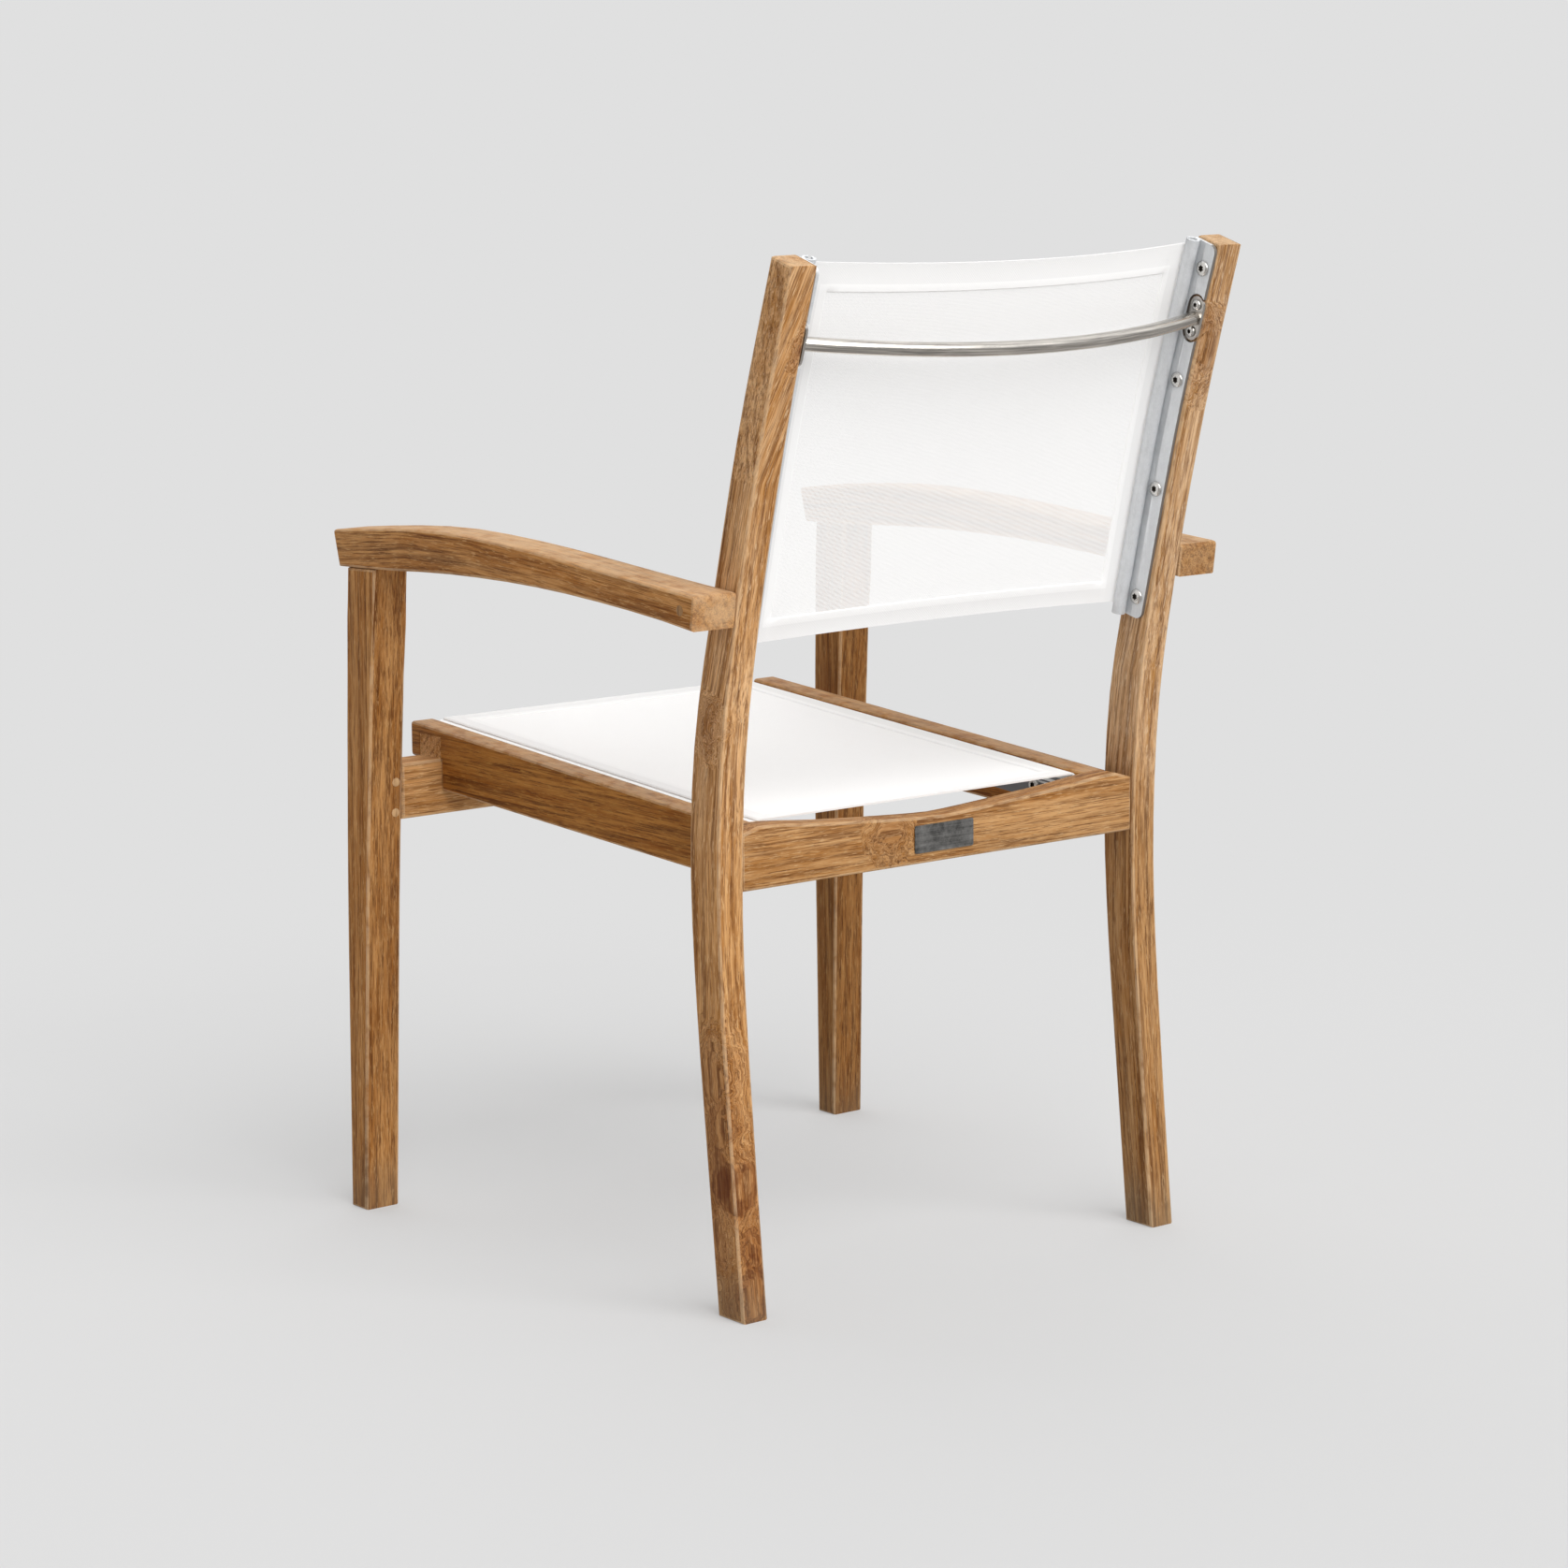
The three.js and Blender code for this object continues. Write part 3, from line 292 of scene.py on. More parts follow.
def wood_grain_group():
    """Teak, along local Z: broad tone, growth lines, fine streaks, dark pores and pale flecks."""
    tree, given, out = group_tree("wood_grain", [
        ("Place", VECTOR, None),
        ("Figure", NUMBER, 0.0),
        ("Light", COLOUR, (0.6, 0.35, 0.15, 1)),
        ("Middle", COLOUR, (0.4, 0.2, 0.07, 1)),
        ("Dark", COLOUR, (0.15, 0.06, 0.02, 1)),
        ("Fleck", COLOUR, (0.7, 0.5, 0.25, 1)),
        ("Pores", NUMBER, 0.6),
        ("Lines", NUMBER, 0.55),
    ], [("Color", COLOUR), ("Roughness", NUMBER), ("Height", NUMBER)])
    place = given["Place"]
    sway = drawn_noise(tree, place, SWAY_CELLS, rough=0.55)
    tone = drawn_noise(tree, place, TONE_CELLS, shift=(3.1, 1.7, 0.4))
    mottle = drawn_noise(tree, place, MOTTLE_CELLS, shift=(1.3, 7.7, 2.4))
    streaks = drawn_noise(tree, place, STREAK_CELLS, 4.0, 0.72)
    fine = drawn_noise(tree, place, FINE_CELLS, rough=0.65, shift=(4.3, 2.2, 1.1))
    pores = between(tree, drawn_noise(tree, place, PORE_CELLS, rough=0.65), 0.53, 0.66)
    flecks = drawn_noise(tree, place, FLECK_CELLS, rough=0.65, shift=(5, 3, 8))

    parts = vector_parts(tree, place)
    across = calc(
        tree, "ADD", times(tree, parts[0], LINE_TURNS[0]), times(tree, parts[1], LINE_TURNS[1]))
    drift = times(tree, calc(tree, "ADD", sway, given["Figure"]), LINE_DRIFT)
    ripple = calc(tree, "SINE", calc(tree, "ADD", across, drift))
    faint = between(tree, drawn_noise(tree, place, FAINT_CELLS, 2.0, 0.5), 0.35, 0.7)
    faint = calc(tree, "MAXIMUM", faint, times(tree, given["Figure"], 2.2))
    lines = times(tree, between(tree, ripple, -0.1, 1.0), faint)

    share = calc(tree, "ADD", times(tree, between(tree, tone, 0.36, 0.64), 0.6),
                 times(tree, between(tree, mottle, 0.36, 0.64), 0.4))
    dark_pores = times(tree, pores, given["Pores"])
    colour = blend_colours(tree, share, given["Middle"], given["Light"])
    for layer_share, layer in (
            (times(tree, lines, given["Lines"]), "Dark"),
            (times(tree, between(tree, streaks, 0.50, 0.68), 0.72), "Dark"),
            (times(tree, between(tree, streaks, 0.48, 0.28), 0.85), "Light"),
            (times(tree, between(tree, fine, 0.50, 0.68), 0.62), "Dark"),
            (dark_pores, "Dark"),
            (times(tree, between(tree, flecks, 0.54, 0.68), 0.65), "Fleck")):
        colour = blend_colours(tree, layer_share, colour, given[layer])
    rough = calc(tree, "ADD", 0.50, times(tree, streaks, 0.25))
    height = calc(tree, "SUBTRACT", times(tree, streaks, -0.5), dark_pores)
    feed(tree, out, {"Color": colour, "Roughness": rough, "Height": height})
    return tree


def knot_group():
    """A knot: growth lines part round it, its heart is dark, and the wood about it reddens."""
    tree, given, out = group_tree("knot", [
        ("Place", VECTOR, None),
        ("Heart", VECTOR, (0, 0, 0)),
        ("Reach", NUMBER, 0.03),
        ("Core", NUMBER, 0.2),
        ("Halo", NUMBER, 0.5),
    ], [("Figure", NUMBER), ("Shade", NUMBER)])
    from_heart = put(
        tree, "VectorMath", {"operation": "SUBTRACT"}, {0: given["Place"], 1: given["Heart"]})
    squeezed = put(
        tree, "VectorMath", {"operation": "MULTIPLY"}, {0: from_heart.outputs[0], 1: KNOT_SQUEEZE})
    away = put(tree, "VectorMath", {"operation": "LENGTH"}, {0: squeezed.outputs[0]})
    ragged = speckle(tree, given["Place"], 42.0, 3.0, 0.6)
    away = calc(tree, "ADD", away.outputs["Value"], spread(tree, ragged, KNOT_RAGGED))
    share = calc(tree, "DIVIDE", away, given["Reach"])
    near = between(tree, share, 1.0, 0.25)
    core = times(tree, between(tree, share, 0.45, 0.15), given["Core"])
    ring = between(tree, calc(tree, "SINE", times(tree, away, KNOT_RING_TURNS)), -0.8, 0.9)
    ring = calc(tree, "ADD", 0.70, times(tree, ring, 0.30))
    halo = times(tree, times(tree, near, ring), given["Halo"])
    feed(tree, out, {
        "Figure": times(tree, near, 0.4), "Shade": calc(tree, "MAXIMUM", core, halo)})
    return tree


def worn_edge_group():
    """Edges that hands and weather have paled: the piece's edge mark, broken up by noise."""
    tree, given, out = group_tree("worn_edges", [
        ("Place", VECTOR, None),
        ("Color", COLOUR, (0.5, 0.5, 0.5, 1)),
        ("Worn", COLOUR, (0.8, 0.7, 0.6, 1)),
        ("Amount", NUMBER, 0.5),
    ], [("Color", COLOUR)])
    patches = between(tree, speckle(tree, given["Place"], 60.0, 3.0, 0.6), 0.3, 0.6)
    patches = calc(tree, "ADD", 0.3, times(tree, patches, 0.7))
    edge = surface_mark(tree, "edge")["Fac"]
    share = times(tree, times(tree, edge, patches), given["Amount"])
    feed(tree, out, {"Color": blend_colours(tree, share, given["Color"], given["Worn"])})
    return tree


def weave_group():
    """Open mesh cloth on a UV map in metres: over and under threads, with holes between."""
    tree, given, out = group_tree("mesh_weave", [
        ("Pitch", NUMBER, 0.0011),
        ("Hole", NUMBER, 0.44),
        ("Thread", COLOUR, srgb(250, 249, 248)),
        ("Shade", COLOUR, srgb(243, 242, 241)),
    ], [("Color", COLOUR), ("Alpha", NUMBER), ("Height", NUMBER)])
    uv = put(tree, "UVMap", {"uv_map": "cloth"}).outputs[0]
    parts = vector_parts(tree, uv)
    half_hole = times(tree, given["Hole"], 0.5)
    hole_low = calc(tree, "SUBTRACT", half_hole, 0.04)
    hole_high = calc(tree, "ADD", half_hole, 0.04)
    threads, swings = [], []
    for axis in (0, 1):
        turn = calc(tree, "DIVIDE", parts[axis], given["Pitch"])
        from_middle = calc(tree, "SUBTRACT", calc(tree, "FRACT", turn), 0.5)
        threads.append(between(tree, calc(tree, "ABSOLUTE", from_middle), hole_low, hole_high))
        swings.append(calc(tree, "SINE", times(tree, turn, math.pi)))
    solid = calc(tree, "MAXIMUM", threads[0], threads[1])
    over = times(tree, swings[0], swings[1])
    lift = times(tree, calc(tree, "ADD", times(tree, over, 0.5), 0.5), solid)
    slubs = drawn_noise(tree, uv, (40, 900, 1))
    # Threads dipping under the crossing threads are drawn toward Shade: painted shade of the
    # weave, with slubs in the yarn.
    share = calc(tree, "ADD", times(tree, lift, 0.55), times(tree, slubs, 0.45))
    colour = blend_colours(tree, share, given["Shade"], given["Thread"])
    feed(tree, out, {"Color": colour, "Alpha": solid, "Height": lift})
    return tree


def drawn_lines_group():
    """Fine drawn lines along local Z on metal, with faint stains."""
    tree, given, out = group_tree("drawn_lines", [
        ("Place", VECTOR, None),
        ("Color", COLOUR, (0.6, 0.6, 0.6, 1)),
        ("Roughness", NUMBER, 0.35),
        ("Contrast", NUMBER, 0.2),
        ("Across", NUMBER, 1800.0),
        ("Stain", NUMBER, 0.1),
    ], [("Color", COLOUR), ("Roughness", NUMBER), ("Height", NUMBER)])
    across = given["Across"]
    fineness = put(tree, "CombineXYZ", {}, {0: across, 1: across, 2: 12.0}).outputs[0]
    drawn = put(
        tree, "VectorMath", {"operation": "MULTIPLY"}, {0: given["Place"], 1: fineness})
    lines = speckle(tree, drawn.outputs[0], 1.0, 3.0, 0.7)
    stains = speckle(tree, given["Place"], 90.0, 5.0, 0.75)
    shade = calc(tree, "ADD", spread(tree, lines, given["Contrast"]), 0.99)
    shade = calc(tree, "ADD", shade, spread(tree, stains, given["Stain"]))
    grey = put(tree, "CombineColor", {}, {0: shade, 1: shade, 2: shade}).outputs[0]
    colour = blend_colours(tree, 1.0, given["Color"], grey, "MULTIPLY")
    rough = calc(tree, "ADD", given["Roughness"], spread(tree, stains, 0.25))
    feed(tree, out, {"Color": colour, "Roughness": rough, "Height": lines})
    return tree


GRAIN = wood_grain_group()
KNOT = knot_group()
WORN = worn_edge_group()
WEAVE = weave_group()
DRAWN = drawn_lines_group()


# ---------------------------------------------------------------- materials

TURNS = {"Z": (0, 0, 0), "Y": (math.radians(90), 0, 0), "X": (0, math.radians(-90), 0)}

# Where a board bends: the axis that its grain moves aside on, the start, and the slope.
POST_BENDS = (("Y", 0.0, 0.11), ("Y", 0.25, -0.11), ("Y", 0.40, -0.12), ("Y", 0.50, -0.15))
LEFT_POST_BENDS = POST_BENDS + (("X", 0.70, 0.28),)
ARM_BENDS = (("Z", -0.32, -0.09), ("Z", -0.20, 0.08), ("Z", -0.10, 0.06), ("Z", 0.04, 0.03))

# Knots push the grain aside and stain it. The sun pales the posts above the seat, and the feet
# are grey as far up as they stand in wet grass, on a line that wanders.
KNOT_PUSH = 0.05
# The knots' tint below also paints the shade round the brace plates.
KNOT_AND_GAP_TINT = (0.52, 0.36, 0.23, 1)
SUN_GAIN = (1.43, 1.69, 2.35, 1)
SUN_HEIGHTS = (0.34, 0.46)
DAMP_HEIGHTS = (0.10, 0.04)
DAMP_WANDER = 0.08
FOOT_GREY = srgb(112, 102, 84)
WORN_WOOD = srgb(214, 182, 144)


def new_material(name):
    material = bpy.data.materials.new(name)
    material.use_nodes = True
    tree = material.node_tree
    tree.nodes.clear()
    shader = tree.nodes.new("ShaderNodeBsdfPrincipled")
    out = tree.nodes.new("ShaderNodeOutputMaterial")
    tree.links.new(shader.outputs[0], out.inputs[0])
    return material, tree, shader


def bump_into(tree, shader, height, distance):
    made = put(tree, "Bump", {}, {"Height": height, "Strength": 1.0, "Distance": distance})
    feed(tree, shader, {"Normal": made.outputs[0]})


def object_place(tree):
    return put(tree, "TexCoord").outputs["Object"]


def turned(tree, place, along, shift=(0, 0, 0)):
    """A place turned so that the grain or the drawn lines run along Z, and moved to other wood."""
    made = put(tree, "Mapping", {}, {"Vector": place, "Rotation": TURNS[along], "Location": shift})
    return made.outputs[0]


def bent_place(tree, place, along, bends):
    """A place moved so that straight grain follows a bent board. Past the start of each bend,
    measured along the board, it moves aside on the bend's axis by the bend's slope."""
    length = vector_parts(tree, place)["XYZ".index(along)]
    for axis, start, slope in bends:
        past = calc(tree, "MAXIMUM", calc(tree, "SUBTRACT", length, start), 0.0)
        aside = put(tree, "CombineXYZ", {}, {"XYZ".index(axis): times(tree, past, slope)})
        place = vector_sum(tree, place, aside.outputs[0])
    return place


def toned(colour, tone, warmth):
    """A written colour, darkened by tone and reddened by warmth."""
    red, green, blue, _ = srgb(*colour)
    return (red * tone, green * tone * (1 - 0.2 * warmth), blue * tone * (1 - 0.5 * warmth), 1)


def knot_marks(tree, coordinates, knots):
    """The strongest figure and shade at each place of a board's knots, painted shade among them.
    """
    figure, shade = 0.0, 0.0
    for heart, reach, core, halo in knots:
        knot = use_group(tree, KNOT, {
            "Place": coordinates, "Heart": heart, "Reach": reach, "Core": core, "Halo": halo})
        figure = calc(tree, "MAXIMUM", figure, knot["Figure"])
        shade = calc(tree, "MAXIMUM", shade, knot["Shade"])
    return figure, shade


def teak(name, along, shift, tone, warmth, knots=(), bends=(), foot=0.0, bleach=0.0):
    """Oiled teak of one board. Tone darkens it and warmth reddens it. Knots are listed as heart,
    reach, core and halo, and may hold painted shade round a brace plate; bends lead the grain
    along a bent board, foot is how grey its foot is, and bleach how much the sun has paled it."""
    def shade(*colour):
        return toned(colour, tone, warmth)

    material, tree, shader = new_material(name)
    coordinates = object_place(tree)
    place = turned(tree, bent_place(tree, coordinates, along, bends), along, shift)
    figure, knot_and_gap_shade = knot_marks(tree, coordinates, knots)
    if knots:
        aside = times(tree, figure, KNOT_PUSH)
        push = put(tree, "CombineXYZ", {}, {0: aside, 1: aside}).outputs[0]
        place = vector_sum(tree, place, push)
    grain = use_group(tree, GRAIN, {
        "Place": place, "Figure": figure, "Light": shade(226, 176, 120),
        "Middle": shade(180, 122, 60), "Dark": shade(98, 52, 18), "Fleck": shade(232, 192, 142)})
    colour = grain["Color"]
    if bleach:
        height = vector_parts(tree, coordinates)[2]
        sunned = times(tree, between(tree, height, *SUN_HEIGHTS), bleach)
        gain = blend_colours(tree, sunned, (1, 1, 1, 1), SUN_GAIN)
        colour = put(
            tree, "VectorMath", {"operation": "MULTIPLY"}, {0: colour, 1: gain}).outputs[0]
    # Knots stain the wood; round the brace plates the same stain is painted shade.
    if knots:
        colour = blend_colours(tree, knot_and_gap_shade, colour, KNOT_AND_GAP_TINT, "MULTIPLY")
        dark_heart_and_gap = times(tree, between(tree, knot_and_gap_shade, 0.5, 1.0), 0.65)
        colour = blend_colours(tree, dark_heart_and_gap, colour, shade(92, 40, 10))
    if foot:
        damp = times(tree, drawn_noise(tree, place, (50, 50, 12)), DAMP_WANDER)
        height = calc(tree, "ADD", vector_parts(tree, coordinates)[2], damp)
        low = between(tree, height, *DAMP_HEIGHTS)
        colour = blend_colours(tree, times(tree, low, foot), colour, FOOT_GREY)
    worn = use_group(tree, WORN, {
        "Place": place, "Color": colour, "Worn": WORN_WOOD, "Amount": 0.6})
    feed(tree, shader, {
        "Base Color": worn["Color"], "Roughness": grain["Roughness"],
        "Specular IOR Level": 0.15})
    bump_into(tree, shader, grain["Height"], 0.00018)
    return material


def end_grain(name, tone, warmth):
    """The sawn ends of pegs and plugs, darkened by tone and reddened by warmth."""
    def shade(*colour):
        return toned(colour, tone, warmth)

    material, tree, shader = new_material(name)
    grain = use_group(tree, GRAIN, {
        "Place": object_place(tree), "Light": shade(204, 164, 116),
        "Middle": shade(188, 144, 96), "Dark": shade(136, 94, 54),
        "Fleck": shade(218, 186, 142), "Pores": 0.5, "Lines": 0.2})
    feed(tree, shader, {"Base Color": grain["Color"], "Roughness": grain["Roughness"]})
    bump_into(tree, shader, grain["Height"], 0.0001)
    return material


def metal(
        name, colour, roughness, along, contrast, metallic=1.0, depth=0.00001, across=1800.0,
        stain=0.1, shade_colour=None):
    """Drawn metal. Faces marked as shaded take the darker colour, which is painted shade."""
    material, tree, shader = new_material(name)
    drawn = use_group(tree, DRAWN, {
        "Place": turned(tree, object_place(tree), along), "Color": srgb(*colour),
        "Roughness": roughness, "Contrast": contrast, "Across": across, "Stain": stain})
    colour = drawn["Color"]
    if shade_colour:
        shade_and_grime = surface_mark(tree, "shade_and_grime")["Fac"]
        colour = blend_colours(tree, shade_and_grime, colour, srgb(*shade_colour))
    feed(tree, shader, {
        "Base Color": colour, "Roughness": drawn["Roughness"], "Metallic": metallic})
    bump_into(tree, shader, drawn["Height"], depth)
    return material


def bar_steel():
    """Steel rod with drawing marks along its own bend, from the piece's straightened place."""
    material, tree, shader = new_material("drawn_steel_rod")
    drawn = use_group(tree, DRAWN, {
        "Place": surface_mark(tree, "straight")["Vector"], "Color": srgb(204, 199, 192),
        "Roughness": 0.22, "Contrast": 2.4, "Across": 420.0})
    feed(tree, shader, {
        "Base Color": drawn["Color"], "Roughness": drawn["Roughness"], "Metallic": 1.0})
    return material


def screw_steel():
    """Bright heads with a socket painted dark: painted shade with some grime."""
    material, tree, shader = new_material("screw_steel")
    shade_and_grime = surface_mark(tree, "shade_and_grime")["Fac"]
    stains = between(tree, speckle(tree, object_place(tree), 900.0), 0.3, 0.7)
    bright = blend_colours(tree, stains, srgb(196, 194, 190), srgb(226, 224, 220))
    # The socket's dark colour is painted shade with some grime.
    colour = blend_colours(tree, shade_and_grime, bright, srgb(66, 60, 54))
    rough = calc(tree, "ADD", 0.24, times(tree, shade_and_grime, 0.4))
    feed(tree, shader, {"Base Color": colour, "Roughness": rough, "Metallic": 1.0})
    return material


def mesh_cloth():
    """Seen steeply the threads close up over the holes, so the cloth turns opaque."""
    material, tree, shader = new_material("sling_mesh_cloth")
    weave = use_group(tree, WEAVE, {})
    steep = put(tree, "LayerWeight", {}, {"Blend": 0.5}).outputs["Facing"]
    alpha = calc(tree, "MAXIMUM", weave["Alpha"], between(tree, steep, 0.45, 0.8))
    feed(tree, shader, {"Base Color": weave["Color"], "Alpha": alpha, "Roughness": 0.75})
    bump_into(tree, shader, weave["Height"], 0.00008)
    return material


def hem_cloth():
    """The same cloth folded and sewn: no holes show, and the seam's extra layers are whitest."""
    material, tree, shader = new_material("sling_hem_cloth")
    weave = use_group(tree, WEAVE, {
        "Hole": 0.1, "Thread": srgb(240, 239, 238), "Shade": srgb(233, 232, 231)})
    seam = between(tree, surface_mark(tree, "seam")["Fac"], 0.0, 1.0)
    colour = blend_colours(tree, seam, weave["Color"], srgb(244, 243, 242))
    feed(tree, shader, {"Base Color": colour, "Roughness": 0.75})
    bump_into(tree, shader, weave["Height"], 0.00006)
    return material


def keder_cord():
    material, tree, shader = new_material("keder_cord")
    shade = between(tree, speckle(tree, object_place(tree), 900.0), 0.3, 0.7)
    colour = blend_colours(tree, shade, srgb(222, 221, 218), srgb(240, 239, 236))
    feed(tree, shader, {"Base Color": colour, "Roughness": 0.5})
    return material


def plate_gap_shade(side):
    """Painted shade on the post in the gap round a brace plate, drawn as a knot without a core."""
    low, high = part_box("brace_plate_" + side)
    middle = (low + high) / 2
    return ((math.copysign(POST_INNER, middle.x), middle.y, middle.z), 0.017, 0.0, 1.0)


# Knots: heart, reach, core, halo.
LEFT_POST_KNOTS = [
    ((0.243, 0.196, 0.118), 0.044, 0.9, 0.75),
    ((0.243, 0.196, 0.164), 0.032, 0.3, 0.7),
    ((0.243, 0.188, 0.070), 0.034, 0.3, 0.6),
    ((0.243, 0.183, 0.205), 0.040, 0.0, 0.5),
    ((0.225, 0.2125, 0.060), 0.028, 0.8, 0.9),
    ((0.232, 0.209, 0.112), 0.044, 0.3, 0.75),
    ((0.228, 0.216, 0.024), 0.036, 0.0, 0.8),
    ((0.243, 0.183, 0.500), 0.024, 0.0, 0.5),
    # The brace plate's entry is painted shade, not a knot.
    plate_gap_shade("left")]
RIGHT_POST_KNOTS = [
    ((-0.230, 0.262, 0.612), 0.012, 0.95, 0.6),
    ((-0.232, 0.275, 0.780), 0.040, 0.0, 0.45),
    # The brace plate's entry is painted shade, not a knot.
    plate_gap_shade("right")]
REAR_RAIL_KNOTS = [((0.06, 0.1925, 0.392), 0.030, 0.0, 0.4)]

TEAK_POST_LEFT = teak(
    "teak_left_rear_post", "Z", (0.11, 0.03, 0.2), 0.84, 0.2, LEFT_POST_KNOTS,
    LEFT_POST_BENDS, foot=0.35, bleach=0.35)
TEAK_POST_RIGHT = teak(
    "teak_right_rear_post", "Z", (0.71, 0.43, 0.9), 0.64, 0.2, RIGHT_POST_KNOTS,
    POST_BENDS, foot=0.4, bleach=1.0)
TEAK_LEG_LEFT = teak("teak_left_front_leg", "Z", (0.37, 0.21, 0.5), 0.68, 0.65, foot=0.3)
TEAK_LEG_RIGHT = teak("teak_right_front_leg", "Z", (0.87, 0.61, 0.3), 0.50, 0.8, foot=0.3)
TEAK_ARM_LEFT = teak("teak_left_arm", "Y", (0.05, 0.4, 0.1), 0.75, 0.65, bends=ARM_BENDS)
TEAK_ARM_RIGHT = teak("teak_right_arm", "Y", (0.05, 0.4, 0.1), 0.63, 0.4, bends=ARM_BENDS)
# The seat rails' darker, redder teak is partly their own tone and partly painted shade of the
# arms.
TEAK_RAIL = teak("teak_seat_rails", "Y", (0.61, 0.13, 0.3), 0.56, 1.3)
TEAK_STRETCHER = teak("teak_front_stretcher", "X", (0.43, 0.53, 0.2), 0.86, 0.2)
TEAK_REAR_RAIL = teak(
    "teak_rear_rail", "X", (0.23, 0.33, 0.7), 0.71, 0.15, REAR_RAIL_KNOTS)
TEAK_PEG = end_grain("teak_peg_ends", 1.0, 0.0)
TEAK_PLUG = end_grain("teak_plug_ends", 0.55, 0.7)
# Its darker colour on marked faces is painted shade of the flange rims' gap by the posts.
ALUMINIUM = metal(
    "satin_aluminium", (219, 221, 223), 0.5, "Z", 0.3, metallic=0.4, stain=0.35,
    shade_colour=(122, 117, 111))
# Its darker colour on marked faces is painted shade under the sling.
ALUMINIUM_SEAT = metal(
    "satin_aluminium_seat", (230, 231, 230), 0.5, "Y", 0.3, metallic=0.4, stain=0.3,
    shade_colour=(112, 112, 114))
STEEL = metal("brushed_steel", (196, 191, 185), 0.24, "X", 0.06, depth=0.000001)
SCREW_STEEL = screw_steel()
BAR_STEEL = bar_steel()
PLATE_DARK = metal(
    "dark_nameplate", (104, 103, 101), 0.42, "X", 2.2, metallic=0.6, across=330.0, stain=3.0)
CLOTH = mesh_cloth()
HEM = hem_cloth()
CORD = keder_cord()


# ---------------------------------------------------------------- wooden and extruded pieces

# Wear on long edges, how far the faces of such an edge lean, and when a face looks up or back.
EDGE_WEAR = 0.75
ROUNDED_EDGE = (0.2, 0.97)
FACING = 0.7


def mark_faces(bm, name, value_of):
    """Puts a mark from 0 to 1 on each face, which the materials read by its name."""
    layer = bm.loops.layers.float.new(name)
    for face in bm.faces:
        value = float(value_of(face))
        for loop in face.loops:
            loop[layer] = value


def mark_edges(bm, side_axis, top_wear, end_wear):
    """Marks wear: EDGE_WEAR on the rounded long edges of a sawn piece, top_wear on faces that look
    up, and end_wear on the ends of a board that runs to and fro."""
    def wear(face):
        if ROUNDED_EDGE[0] < abs(face.normal[side_axis]) < ROUNDED_EDGE[1]:
            return EDGE_WEAR
        if face.normal.z > FACING:
            return top_wear
        return end_wear if face.normal.y > FACING else 0.0

    mark_faces(bm, "edge", wear)


def soften_top(bm, width):
    """Rounds the edges round the highest flat face, as sanding leaves them."""
    top = max(bm.faces, key=lambda face: face.calc_center_median().z)
    bmesh.ops.bevel(
        bm, geom=list(top.edges), offset=width, segments=3, profile=0.5, affect="EDGES",
        material=-1, clamp_overlap=True)
    bm.normal_update()


def upright(face):
    """The flat of a seat track's flange, which takes painted shade for the sling's shadow."""
    return abs(face.normal.x) > 0.99


def flange_rim(face):
    """The narrow faces round a back track's flange, painted with shade of the gap by the post."""
    if abs(face.normal.x) > 0.3:
        return False
    return all(abs(vert.co.x) > FLANGE_INNER for vert in face.verts)


def dress(
        node, material, side_axis=None, top_round=0, top_wear=0, end_wear=0, is_shaded=None):
    """Replaces a node by a merged copy with its wear and painted shade marked: side_axis is the
    axis across a sawn piece's flat sides, and the face test picks the faces that take a metal's
    painted shade colour."""
    bm = merged_copy(node)
    if top_round:
        soften_top(bm, top_round)
    if side_axis is not None:
        mark_edges(bm, side_axis, top_wear, end_wear)
    if is_shaded:
        mark_faces(bm, "shade_and_grime", is_shaded)
    piece = piece_from(node + "_finished", bm, material, SAWN_SMOOTH_ANGLE)
    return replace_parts(piece, node)


for side, post_teak, leg_teak, arm_teak, arm_end_wear, rim_shade in (
        ("left", TEAK_POST_LEFT, TEAK_LEG_LEFT, TEAK_ARM_LEFT, 0.75, None),
        ("right", TEAK_POST_RIGHT, TEAK_LEG_RIGHT, TEAK_ARM_RIGHT, 0.25, flange_rim)):
    dress("rear_post_" + side, post_teak, 0, top_round=POST_TOP_ROUND, top_wear=1.0)
    dress("front_leg_" + side, leg_teak, 0)
    dress("arm_" + side, arm_teak, 0, top_wear=0.9, end_wear=arm_end_wear)
    dress("seat_rail_" + side, TEAK_RAIL, 0, top_wear=0.75)
    # The tracks' marked faces take painted shade.
    dress("back_track_" + side, ALUMINIUM, is_shaded=rim_shade)
    dress("seat_track_" + side, ALUMINIUM_SEAT, is_shaded=upright)
    dress("back_keder_" + side, CORD)
    dress("seat_keder_" + side, CORD)
    dress("brace_plate_" + side, STEEL)
    dress("arm_bolt_" + side, STEEL)
dress("front_stretcher", TEAK_STRETCHER, 1)
dress("rear_rail", TEAK_REAR_RAIL, 1)
dress("nameplate", PLATE_DARK)


# ---------------------------------------------------------------- turned pieces: screws, pegs, bar

